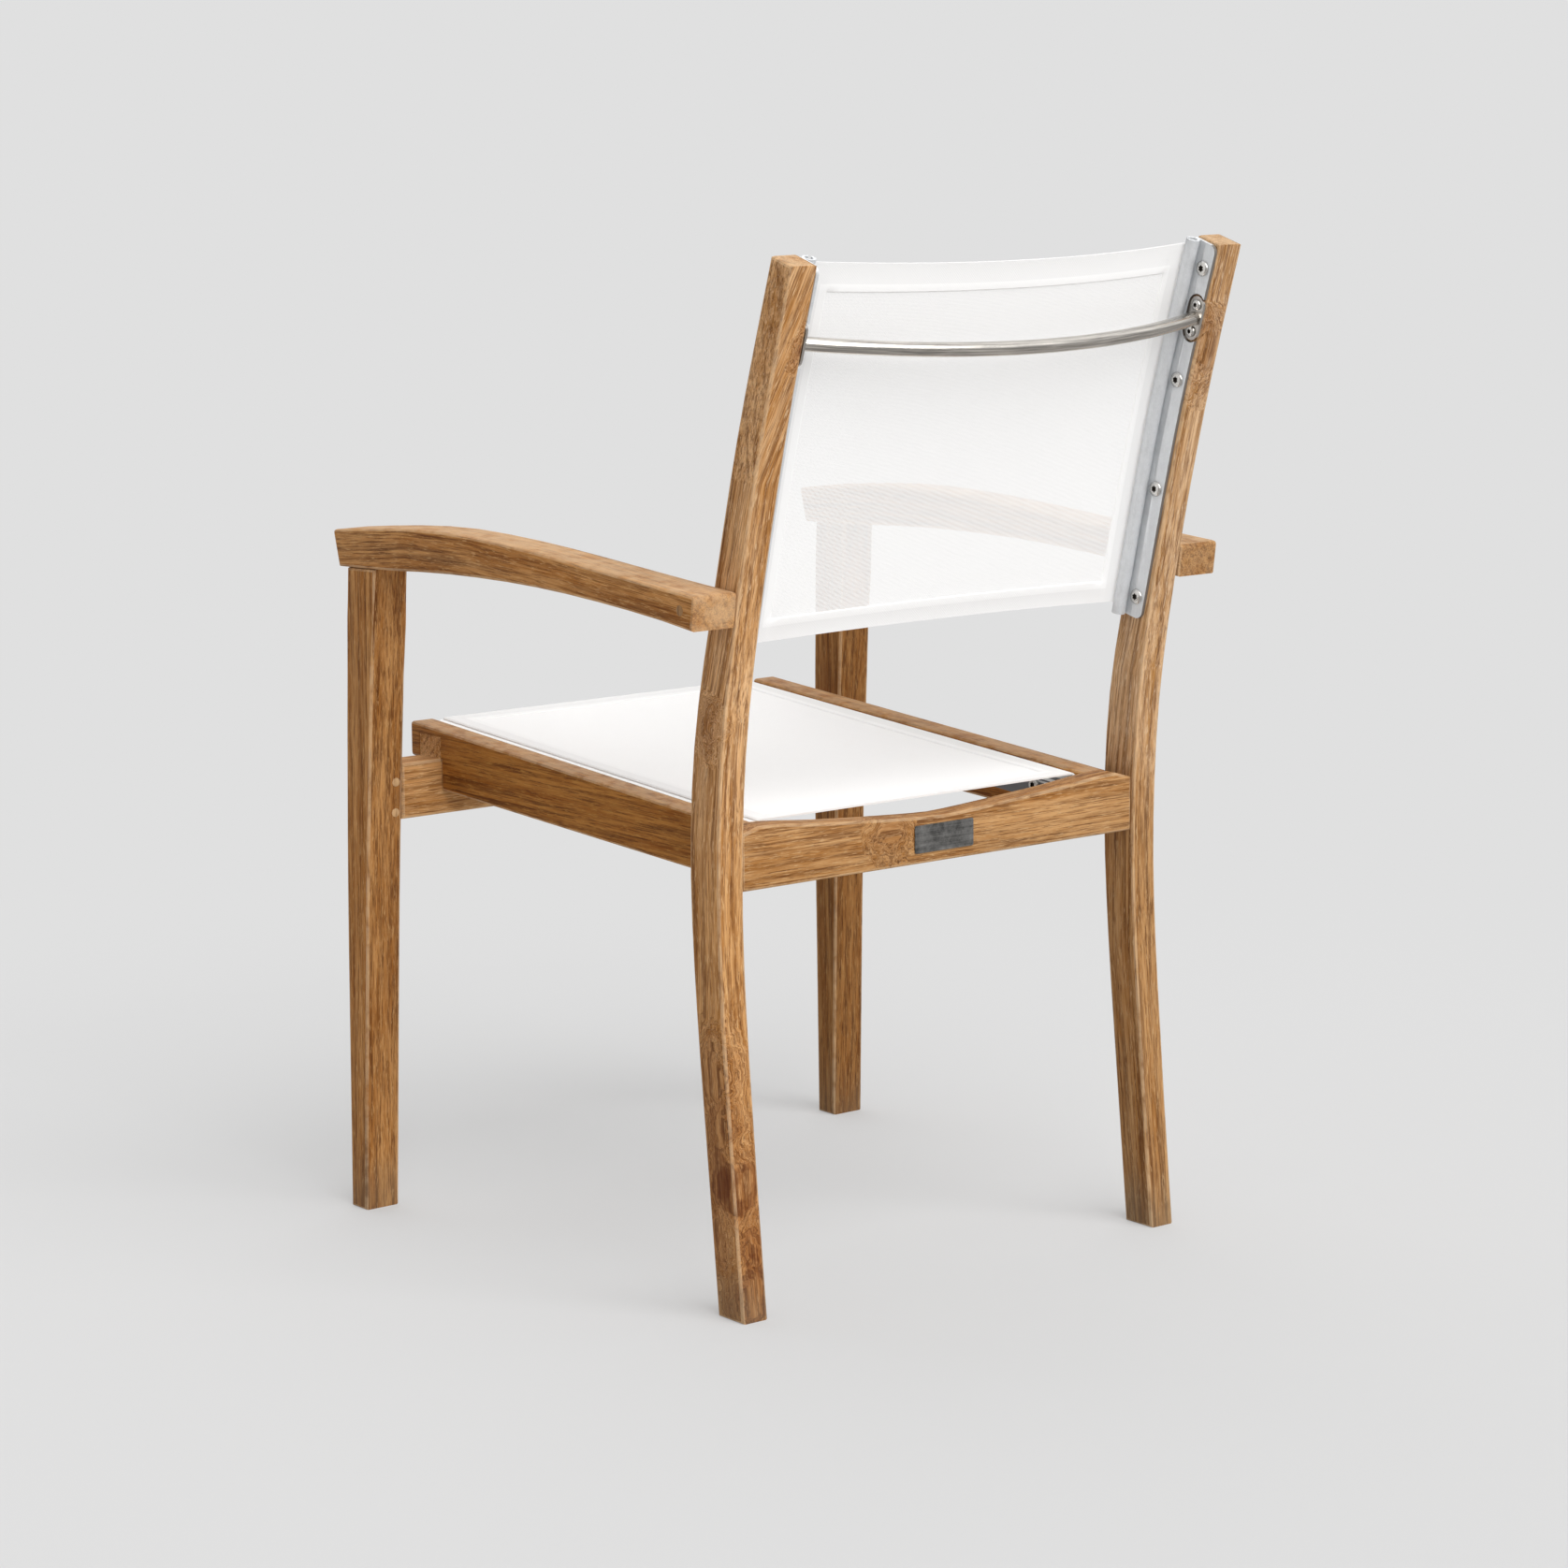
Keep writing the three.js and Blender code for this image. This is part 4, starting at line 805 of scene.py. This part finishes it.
def screw(node, inward, head_spread):
    """A domed head with a six-lobed socket on a plain shank, head at the inward end of its node.
    The head's rim is spread wider than the solid's plain one."""
    low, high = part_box(node)
    middle = (low + high) / 2
    rim = (high.y - low.y) / 2 * head_spread
    height, shank, floor = SCREW_HEAD_HEIGHT, SCREW_SHANK_RADIUS, SOCKET_FLOOR
    length = high.x - low.x - height
    socket = rim * 0.4
    profile = [
        (0, floor), (socket * 0.8, floor), (socket, height - 0.0001), (socket * 1.2, height),
        (rim * 0.72, height * 0.9), (rim * 0.93, height * 0.6), (rim, height * 0.2), (rim, 0),
        (shank, 0), (shank, -length + shank), (shank * 0.3, -length), (0, -length)]
    bm = bmesh.new()
    points = [bm.verts.new((r, 0, h)) for r, h in profile]
    edges = [bm.edges.new(pair) for pair in zip(points, points[1:])]
    bmesh.ops.spin(
        bm, geom=points + edges, cent=(0, 0, 0), axis=(0, 0, 1), angle=math.tau, steps=36,
        use_merge=True)
    bmesh.ops.remove_doubles(bm, verts=bm.verts, dist=SCREW_MERGE_GAP)

    def in_socket(face):
        heart = face.calc_center_median()
        return math.hypot(heart.x, heart.y) < socket and heart.z > 0

    # Socket faces are marked for painted shade with some grime.
    mark_faces(bm, "shade_and_grime", in_socket)
    for vert in bm.verts:
        radius = math.hypot(vert.co.x, vert.co.y)
        if socket * 0.7 < radius < socket * 1.1 and vert.co.z > 0:
            angle = math.atan2(vert.co.y, vert.co.x)
            lobe = 1 + SOCKET_LOBE_DEPTH * math.cos(SOCKET_LOBES * angle)
            vert.co.x *= lobe
            vert.co.y *= lobe
    bmesh.ops.recalc_face_normals(bm, faces=bm.faces)
    seat = low.x if inward < 0 else high.x
    turn = Matrix.Rotation(math.radians(90) * inward, 4, "Y")
    place = Matrix.Translation((seat - inward * height, middle.y, middle.z))
    bmesh.ops.transform(bm, matrix=place @ turn, verts=bm.verts)
    piece = piece_from(
        node + "_finished", bm, SCREW_STEEL, ROUND_SMOOTH_ANGLE)
    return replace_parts(piece, node)


for side, inward in (("left", -1), ("right", 1)):
    for track in ("back_track_screw", "seat_track_screw"):
        for number in (1, 2, 3, 4):
            screw(f"{track}_{side}_{number}", inward, TRACK_HEAD_SPREAD)
    for end in ("upper", "lower"):
        screw(f"brace_screw_{side}_{end}", inward, BRACE_HEAD_SPREAD)


def peg(node, axis, teak_end):
    """A short round peg with a softened rim along X or Y, the size of its node."""
    low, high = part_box(node)
    middle, size = (low + high) / 2, high - low
    radius = size.z / 2
    bm = bmesh.new()
    bmesh.ops.create_cone(
        bm, cap_ends=True, segments=28, radius1=radius, radius2=radius, depth=size[axis])
    rims = [edge for edge in bm.edges if abs(edge.verts[0].co.z - edge.verts[1].co.z) < 1e-6]
    bmesh.ops.bevel(
        bm, geom=rims, offset=PEG_RIM_ROUND, segments=2, profile=0.5, affect="EDGES", material=-1)
    turn = Matrix.Rotation(math.radians(90), 4, "Y" if axis == 0 else "X")
    bmesh.ops.transform(bm, matrix=Matrix.Translation(middle) @ turn, verts=bm.verts)
    piece = piece_from(node + "_finished", bm, teak_end, PEG_SMOOTH_ANGLE)
    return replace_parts(piece, node)


for side in ("left", "right"):
    peg("arm_plug_" + side, 0, TEAK_PLUG)
    for level in ("lower", "upper"):
        peg(f"leg_dowel_{side}_{level}", 1, TEAK_PEG)


def brace_bar():
    """A round bar bent to one arc, which stands off behind the sling between the two plates."""
    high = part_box("brace_bar")[1]
    plate_low, plate_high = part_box("brace_plate_left")
    end = high.x
    depth = math.hypot(BAR_DROOP, BAR_BOW)
    arc = (end * end + depth * depth) / (2 * depth)
    half = math.asin(end / arc)
    side = Vector((1, 0, 0))
    out = Vector((0, BAR_BOW / depth, -BAR_DROOP / depth))
    axis = side.cross(out)
    base = Vector((0, high.y - BAR_RADIUS - BAR_BOW, (plate_low.z + plate_high.z) / 2))
    centre = base + out * (depth - arc)
    start = centre + out * (arc * math.cos(half)) + side * (arc * math.sin(half))
    radial = (start - centre).normalized()
    turn = Matrix((radial, axis, radial.cross(axis))).transposed().to_4x4()
    bm = bmesh.new()
    bmesh.ops.create_circle(bm, cap_ends=False, segments=32, radius=BAR_RADIUS)
    bmesh.ops.transform(bm, matrix=Matrix.Translation(start) @ turn, verts=bm.verts)
    bmesh.ops.spin(
        bm, geom=bm.verts[:] + bm.edges[:], cent=centre, axis=axis, angle=2 * half, steps=72)
    for bound, normal in ((end, (1, 0, 0)), (-end, (-1, 0, 0))):
        bmesh.ops.bisect_plane(
            bm, geom=bm.verts[:] + bm.edges[:] + bm.faces[:], plane_co=(bound, 0, 0),
            plane_no=normal, clear_outer=True)
    bmesh.ops.holes_fill(bm, edges=[edge for edge in bm.edges if edge.is_boundary], sides=0)
    bmesh.ops.recalc_face_normals(bm, faces=bm.faces)
    straight = bm.loops.layers.float_vector.new("straight")
    for face in bm.faces:
        for loop in face.loops:
            spoke = loop.vert.co - centre
            flat = spoke - axis * spoke.dot(axis)
            along = math.atan2(flat.dot(side), flat.dot(out)) * arc
            loop[straight] = (flat.length - arc, spoke.dot(axis), along)
    piece = piece_from(
        "brace_bar_finished", bm, BAR_STEEL, ROUND_SMOOTH_ANGLE)
    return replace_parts(piece, "brace_bar")


brace_bar()


# ---------------------------------------------------------------- slings

# Steps across half a sling, from the rod to the middle, and along it, from its foot to its top.
# The last SEAM_STEPS steps of a hem, at a side or at an end, are its sewn seam.
SLOT_STEPS = 2
BEND_STEPS = 5
HALF_WIDTH_STEPS = 16
LENGTH_STEPS = 34
END_HEM_STEPS = 5
SEAM_STEPS = 3
EDGE_STATIONS = (0.0005, 0.004)
END_STATION = 0.001


def seam_stations(hem):
    """Where a hem's seam starts, rises, falls and ends, from the edge of the cloth."""
    return [hem - SEAM_WIDTH, hem - SEAM_WIDTH + SEAM_SLOPE, hem - SEAM_SLOPE, hem]


def back_bead(z):
    """The back tracks' bead line, which follows the posts' curve."""
    setback = smooth_line(POST_HEIGHT_SHARES, POST_SETBACK_SHARES, z / BACK_HEIGHT)
    share = (z - BACK_TRACK[0]) / (BACK_TRACK[1] - BACK_TRACK[0])
    return FRONT + LEG_TO_POST + POST_SWEEP * setback + mix(*BACK_BEAD_INSETS, share)


def back_up(z):
    """Direction from the back's bead line towards the sitter."""
    step = 0.0005
    tangent = Vector((0, back_bead(z + step) - back_bead(z - step), 2 * step)).normalized()
    return Vector((0, -tangent.z, tangent.y))


SEAT_TILT = math.atan2(SEAT_DROP, RAIL_REAR - RAIL_FRONT)
SEAT_UP = Vector((0, math.sin(SEAT_TILT), math.cos(SEAT_TILT)))
BACK_SLING = (BACK_TRACK[0] + BACK_SLING_INSETS[0], BACK_TRACK[1] - BACK_SLING_INSETS[1])
SEAT_SLING = (RAIL_FRONT + SEAT_TRACK_INSETS[0] + SEAT_SLING_GAP,
              RAIL_REAR - SEAT_TRACK_INSETS[1] - SEAT_SLING_GAP)


def seat_bead(y):
    """The seat tracks' bead line, straight and sloping down to the rear."""
    top = SEAT_HEIGHT - SEAT_DROP * (y - RAIL_FRONT) / (RAIL_REAR - RAIL_FRONT)
    return top - SEAT_BEAD_INSET / math.cos(SEAT_TILT)


def back_place(share, slack):
    """Bead point, way up and sag on the back, whose foot curves up a little in the middle."""
    z = mix(*BACK_SLING, share) + BACK_FOOT_RISE * slack * (1 - share)
    return Vector((0, back_bead(z), z)), back_up(z), slack * mix(*BACK_SAGS, share)


def seat_place(share, slack):
    """Bead point, way up and sag on the seat, which sags most at half its length."""
    y = mix(*SEAT_SLING, share)
    return Vector((0, y, seat_bead(y))), SEAT_UP, slack * SEAT_SAG * math.sin(math.pi * share)


def bead_length(place_at):
    """Length of the bead line along one edge of a sling."""
    steps = 60
    points = [place_at(i / steps, 0)[0] for i in range(steps + 1)]
    return sum((b - a).length for a, b in zip(points, points[1:]))


def half_section(face, slot_angle):
    """Half a sling across, from the keder rod to the middle: inward, height, slack, flat width."""
    def on_slot(radius):
        reach = radius + CLOTH_CLEARANCE
        return (BEAD_STANDOFF + reach * math.cos(slot_angle), reach * math.sin(slot_angle))

    line = [on_slot(KEDER_RADIUS), on_slot(BEAD_RADIUS)]
    inward, height = line[-1]
    for i in range(1, BEND_STEPS + 1):
        tilt = slot_angle * (1 - i / BEND_STEPS)
        line.append((inward + CLOTH_BEND * (math.sin(slot_angle) - math.sin(tilt)),
                     height + CLOTH_BEND * (math.cos(tilt) - math.cos(slot_angle))))
    edge, height = line[-1]
    line += [(edge + step, height) for step in (*EDGE_STATIONS, *seam_stations(SIDE_HEM))]
    hem_end = len(line) - 1
    hem_inward = line[-1][0]
    for i in range(1, HALF_WIDTH_STEPS + 1):
        line.append((mix(hem_inward, face, i / HALF_WIDTH_STEPS), height))
    stations, flat = [], 0.0
    for i, (inward, height) in enumerate(line):
        if i:
            flat += math.hypot(inward - line[i - 1][0], height - line[i - 1][1])
        slack = 1 - min((face - inward) / (face - edge), 1) ** 2
        stations.append((inward, height, slack, flat))
    return stations, hem_end


def hem_of(cloth, spot, columns, rows, hem_end):
    """A copy of the cloth's border as a closed thick fold, thickest along the sewn seam."""
    bm = cloth.copy()
    where = {vert: spot[twin][2:] for vert, twin in zip(bm.verts, cloth.verts)}

    def edge_steps(vert):
        """How many steps a point is from the nearer side and from the nearer end."""
        i, j = where[vert]
        return min(i, columns - i), min(j, rows - j)

    def inside_hem(vert):
        side, end = edge_steps(vert)
        return side >= hem_end and end >= END_HEM_STEPS

    def on_seam(vert):
        side, end = edge_steps(vert)
        past_side, past_end = side >= hem_end - SEAM_STEPS, end >= END_HEM_STEPS - SEAM_STEPS
        return past_side and past_end and (side <= hem_end or end <= END_HEM_STEPS)

    def half_thickness(vert):
        side, end = edge_steps(vert)
        if inside_hem(vert):
            return HEM_EDGE / 2
        if side <= SLOT_STEPS:
            return SLOT_FILL / 2
        crest = (hem_end - SEAM_STEPS < side < hem_end
                 or END_HEM_STEPS - SEAM_STEPS < end < END_HEM_STEPS)
        return (HEM_THICK + (SEAM_THICK if crest and on_seam(vert) else 0)) / 2

    middle = [face for face in bm.faces if all(inside_hem(vert) for vert in face.verts)]
    bmesh.ops.delete(bm, geom=middle, context="FACES")
    bm.normal_update()
    mark_faces(bm, "seam", lambda face: all(on_seam(vert) for vert in face.verts))
    seam = bm.loops.layers.float["seam"]
    near = bm.verts[:]
    steps = {vert: vert.normal * half_thickness(vert) for vert in near}
    rims = [edge for edge in bm.edges if edge.is_boundary]
    made = bmesh.ops.duplicate(bm, geom=near + bm.edges[:] + bm.faces[:])
    twins = {vert: made["vert_map"][vert] for vert in near}
    for vert in near:
        twins[vert].co = vert.co - steps[vert]
        vert.co = vert.co + steps[vert]
    for edge in rims:
        a, b = edge.verts
        wall = bm.faces.new((a, b, twins[b], twins[a]))
        for loop in wall.loops:
            loop[seam] = 0.0
    bmesh.ops.recalc_face_normals(bm, faces=bm.faces)
    return bm


def sling(name, face, slot_angle, length, hems, place_at):
    """The cloth of a sling and its sewn hem, both on the same curved surface.
    place_at(share, slack) gives the bead's point, the way up from it, and the sag."""
    half, hem_end = half_section(face, slot_angle)
    across = [(station, 1) for station in half] + [(station, -1) for station in half[-2::-1]]
    width = 2 * half[-1][3]
    foot, top = hems
    along = [0, END_STATION, *seam_stations(foot)]
    along += [mix(foot, length - top, i / LENGTH_STEPS) for i in range(1, LENGTH_STEPS)]
    along += [length - station for station in reversed(seam_stations(top))]
    along += [length - END_STATION, length]
    columns, rows = len(across) - 1, len(along) - 1
    bm = bmesh.new()
    bmesh.ops.create_grid(bm, x_segments=columns, y_segments=rows, size=0.5)
    uv = bm.loops.layers.uv.new("cloth")
    spot = {}
    for vert in bm.verts:
        i, j = round((vert.co.x + 0.5) * columns), round((vert.co.y + 0.5) * rows)
        (inward, height, slack, flat), side = across[i]
        point, up, sag = place_at(along[j] / length, slack)
        spot[vert] = (flat if side > 0 else width - flat, along[j], i, j)
        lift = height - sag
        vert.co = (side * (face - inward), point.y + up.y * lift, point.z + up.z * lift)
    for patch in bm.faces:
        for loop in patch.loops:
            loop[uv].uv = spot[loop.vert][:2]
    hem = hem_of(bm, spot, columns, rows, hem_end)
    cloth = piece_from(name + "_cloth", bm, CLOTH, CLOTH_SMOOTH_ANGLE)
    border = piece_from(name + "_hem", hem, HEM, ROUND_SMOOTH_ANGLE)
    return cloth, border, width


BACK_LENGTH = bead_length(back_place)
SEAT_LENGTH = bead_length(seat_place)
back_cloth, back_hem, back_width = sling(
    "back_sling", POST_INNER, BACK_SLOT_ANGLE, BACK_LENGTH, BACK_HEMS, back_place)
seat_cloth, seat_hem, seat_width = sling(
    "seat_sling", RAIL_INNER, SEAT_SLOT_ANGLE, SEAT_LENGTH, SEAT_HEMS, seat_place)
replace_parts(back_cloth, "back_sling")
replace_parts(seat_cloth, "seat_sling")


# ---------------------------------------------------------------- floor, light and camera

WHITE = (1, 1, 1, 1)
BACKDROP = srgb(224, 224, 224)
FLOOR = (0.64, 0.64, 0.64, 1)
FLOOR_IN_METAL = (0.46, 0.45, 0.44, 1)
FLOOR_RADIUS = 14
FLOOR_FADE = (0.6, 1.8)
FLOOR_LEAST_GLOW = 0.4
FILL_LEVEL = 0.46
HORIZON_IN_METAL = 0.36
SKY_IN_METAL = 1.0
SKY_HEIGHTS = (0.02, 0.5)
KEY_LEVEL = 0.83
FRONT_LEVEL = 0.23
LAMP_SPREAD = 60
LAMP_DISTANCE = 3
CAMERA_PLACE = (2.3421, 2.96147, 1.0564)
CAMERA_RIGHT = (-0.78624, 0.61786, -0.00829)
CAMERA_UP = (-0.11251, -0.12994, 0.98512)
CAMERA_BACK = (0.60759, 0.77547, 0.17168)
CAMERA_LENS = 99.22


def shader_of(tree, kind, colour, strength=1.0):
    """A plain light-giving shader for the floor or the world."""
    return put(tree, kind, {}, {"Color": colour, "Strength": strength}).outputs[0]


def mixed(tree, share, a, b):
    return put(tree, "MixShader", {}, {0: share, 1: a, 2: b}).outputs[0]


def studio_floor():
    """A pale floor that takes the chair's shadow and turns into the plain backdrop further out."""
    bm = bmesh.new()
    bmesh.ops.create_circle(bm, cap_ends=True, segments=96, radius=FLOOR_RADIUS)
    mesh = bpy.data.meshes.new("studio_floor")
    bm.to_mesh(mesh)
    bm.free()
    floor = bpy.data.objects.new("studio_floor", mesh)
    SCENE.collection.objects.link(floor)
    material = bpy.data.materials.new("studio_floor")
    material.use_nodes = True
    tree = material.node_tree
    tree.nodes.clear()
    path = put(tree, "LightPath").outputs
    matt = put(tree, "BsdfDiffuse", {}, {"Color": FLOOR}).outputs[0]
    distance = put(tree, "VectorMath", {"operation": "LENGTH"}, {0: object_place(tree)})
    far = between(tree, distance.outputs["Value"], *FLOOR_FADE)
    far = times(tree, calc(tree, "MAXIMUM", far, FLOOR_LEAST_GLOW), path["Is Camera Ray"])
    seen = mixed(tree, far, matt, shader_of(tree, "Emission", BACKDROP))
    seen = mixed(
        tree, path["Is Glossy Ray"], seen, shader_of(tree, "Emission", FLOOR_IN_METAL))
    put(tree, "OutputMaterial", {}, {0: seen})
    mesh.materials.append(material)


def studio_world():
    """The plain backdrop for the camera, a soft fill for the light, and a bright sky for metal."""
    world = bpy.data.worlds.new("studio")
    SCENE.world = world
    world.use_nodes = True
    tree = world.node_tree
    tree.nodes.clear()
    path = put(tree, "LightPath").outputs
    direction = put(tree, "TexCoord").outputs["Generated"]
    sky = between(tree, vector_parts(tree, direction)[2], *SKY_HEIGHTS)
    level = times(tree, sky, SKY_IN_METAL - HORIZON_IN_METAL)
    level = calc(tree, "ADD", HORIZON_IN_METAL, level)
    fill = shader_of(tree, "Background", WHITE, FILL_LEVEL)
    overhead = shader_of(tree, "Background", WHITE, level)
    backdrop = shader_of(tree, "Background", BACKDROP)
    seen = calc(tree, "MAXIMUM", path["Is Camera Ray"], path["Is Transmission Ray"])
    blended = mixed(tree, path["Is Glossy Ray"], fill, overhead)
    put(tree, "OutputWorld", {}, {0: mixed(tree, seen, blended, backdrop)})


def soft_lamp(name, towards, level):
    """A wide soft lamp far off; level is what it adds on a white face turned to it."""
    data = bpy.data.lights.new(name, "SUN")
    data.energy = level * math.pi
    data.angle = math.radians(LAMP_SPREAD)
    made = bpy.data.objects.new(name, data)
    made.rotation_mode = "QUATERNION"
    made.rotation_quaternion = Vector(towards).to_track_quat("Z", "Y")
    made.location = Vector(towards) * LAMP_DISTANCE
    SCENE.collection.objects.link(made)


def studio_camera():
    """The camera at the photograph's angle, from its place and its three directions."""
    data = bpy.data.cameras.new("photo_camera")
    data.sensor_width = 36
    data.lens = CAMERA_LENS
    data.clip_start, data.clip_end = 0.05, 100
    camera = bpy.data.objects.new("photo_camera", data)
    turn = Matrix((CAMERA_RIGHT, CAMERA_UP, CAMERA_BACK)).transposed().to_4x4()
    camera.matrix_world = Matrix.Translation(CAMERA_PLACE) @ turn
    SCENE.collection.objects.link(camera)
    SCENE.camera = camera


studio_floor()
studio_world()
soft_lamp("key_lamp", (0, 0.76, 0.65), KEY_LEVEL)
soft_lamp("front_lamp", (-0.2, -0.6, 0.8), FRONT_LEVEL)
studio_camera()
SCENE.view_settings.view_transform = "Standard"
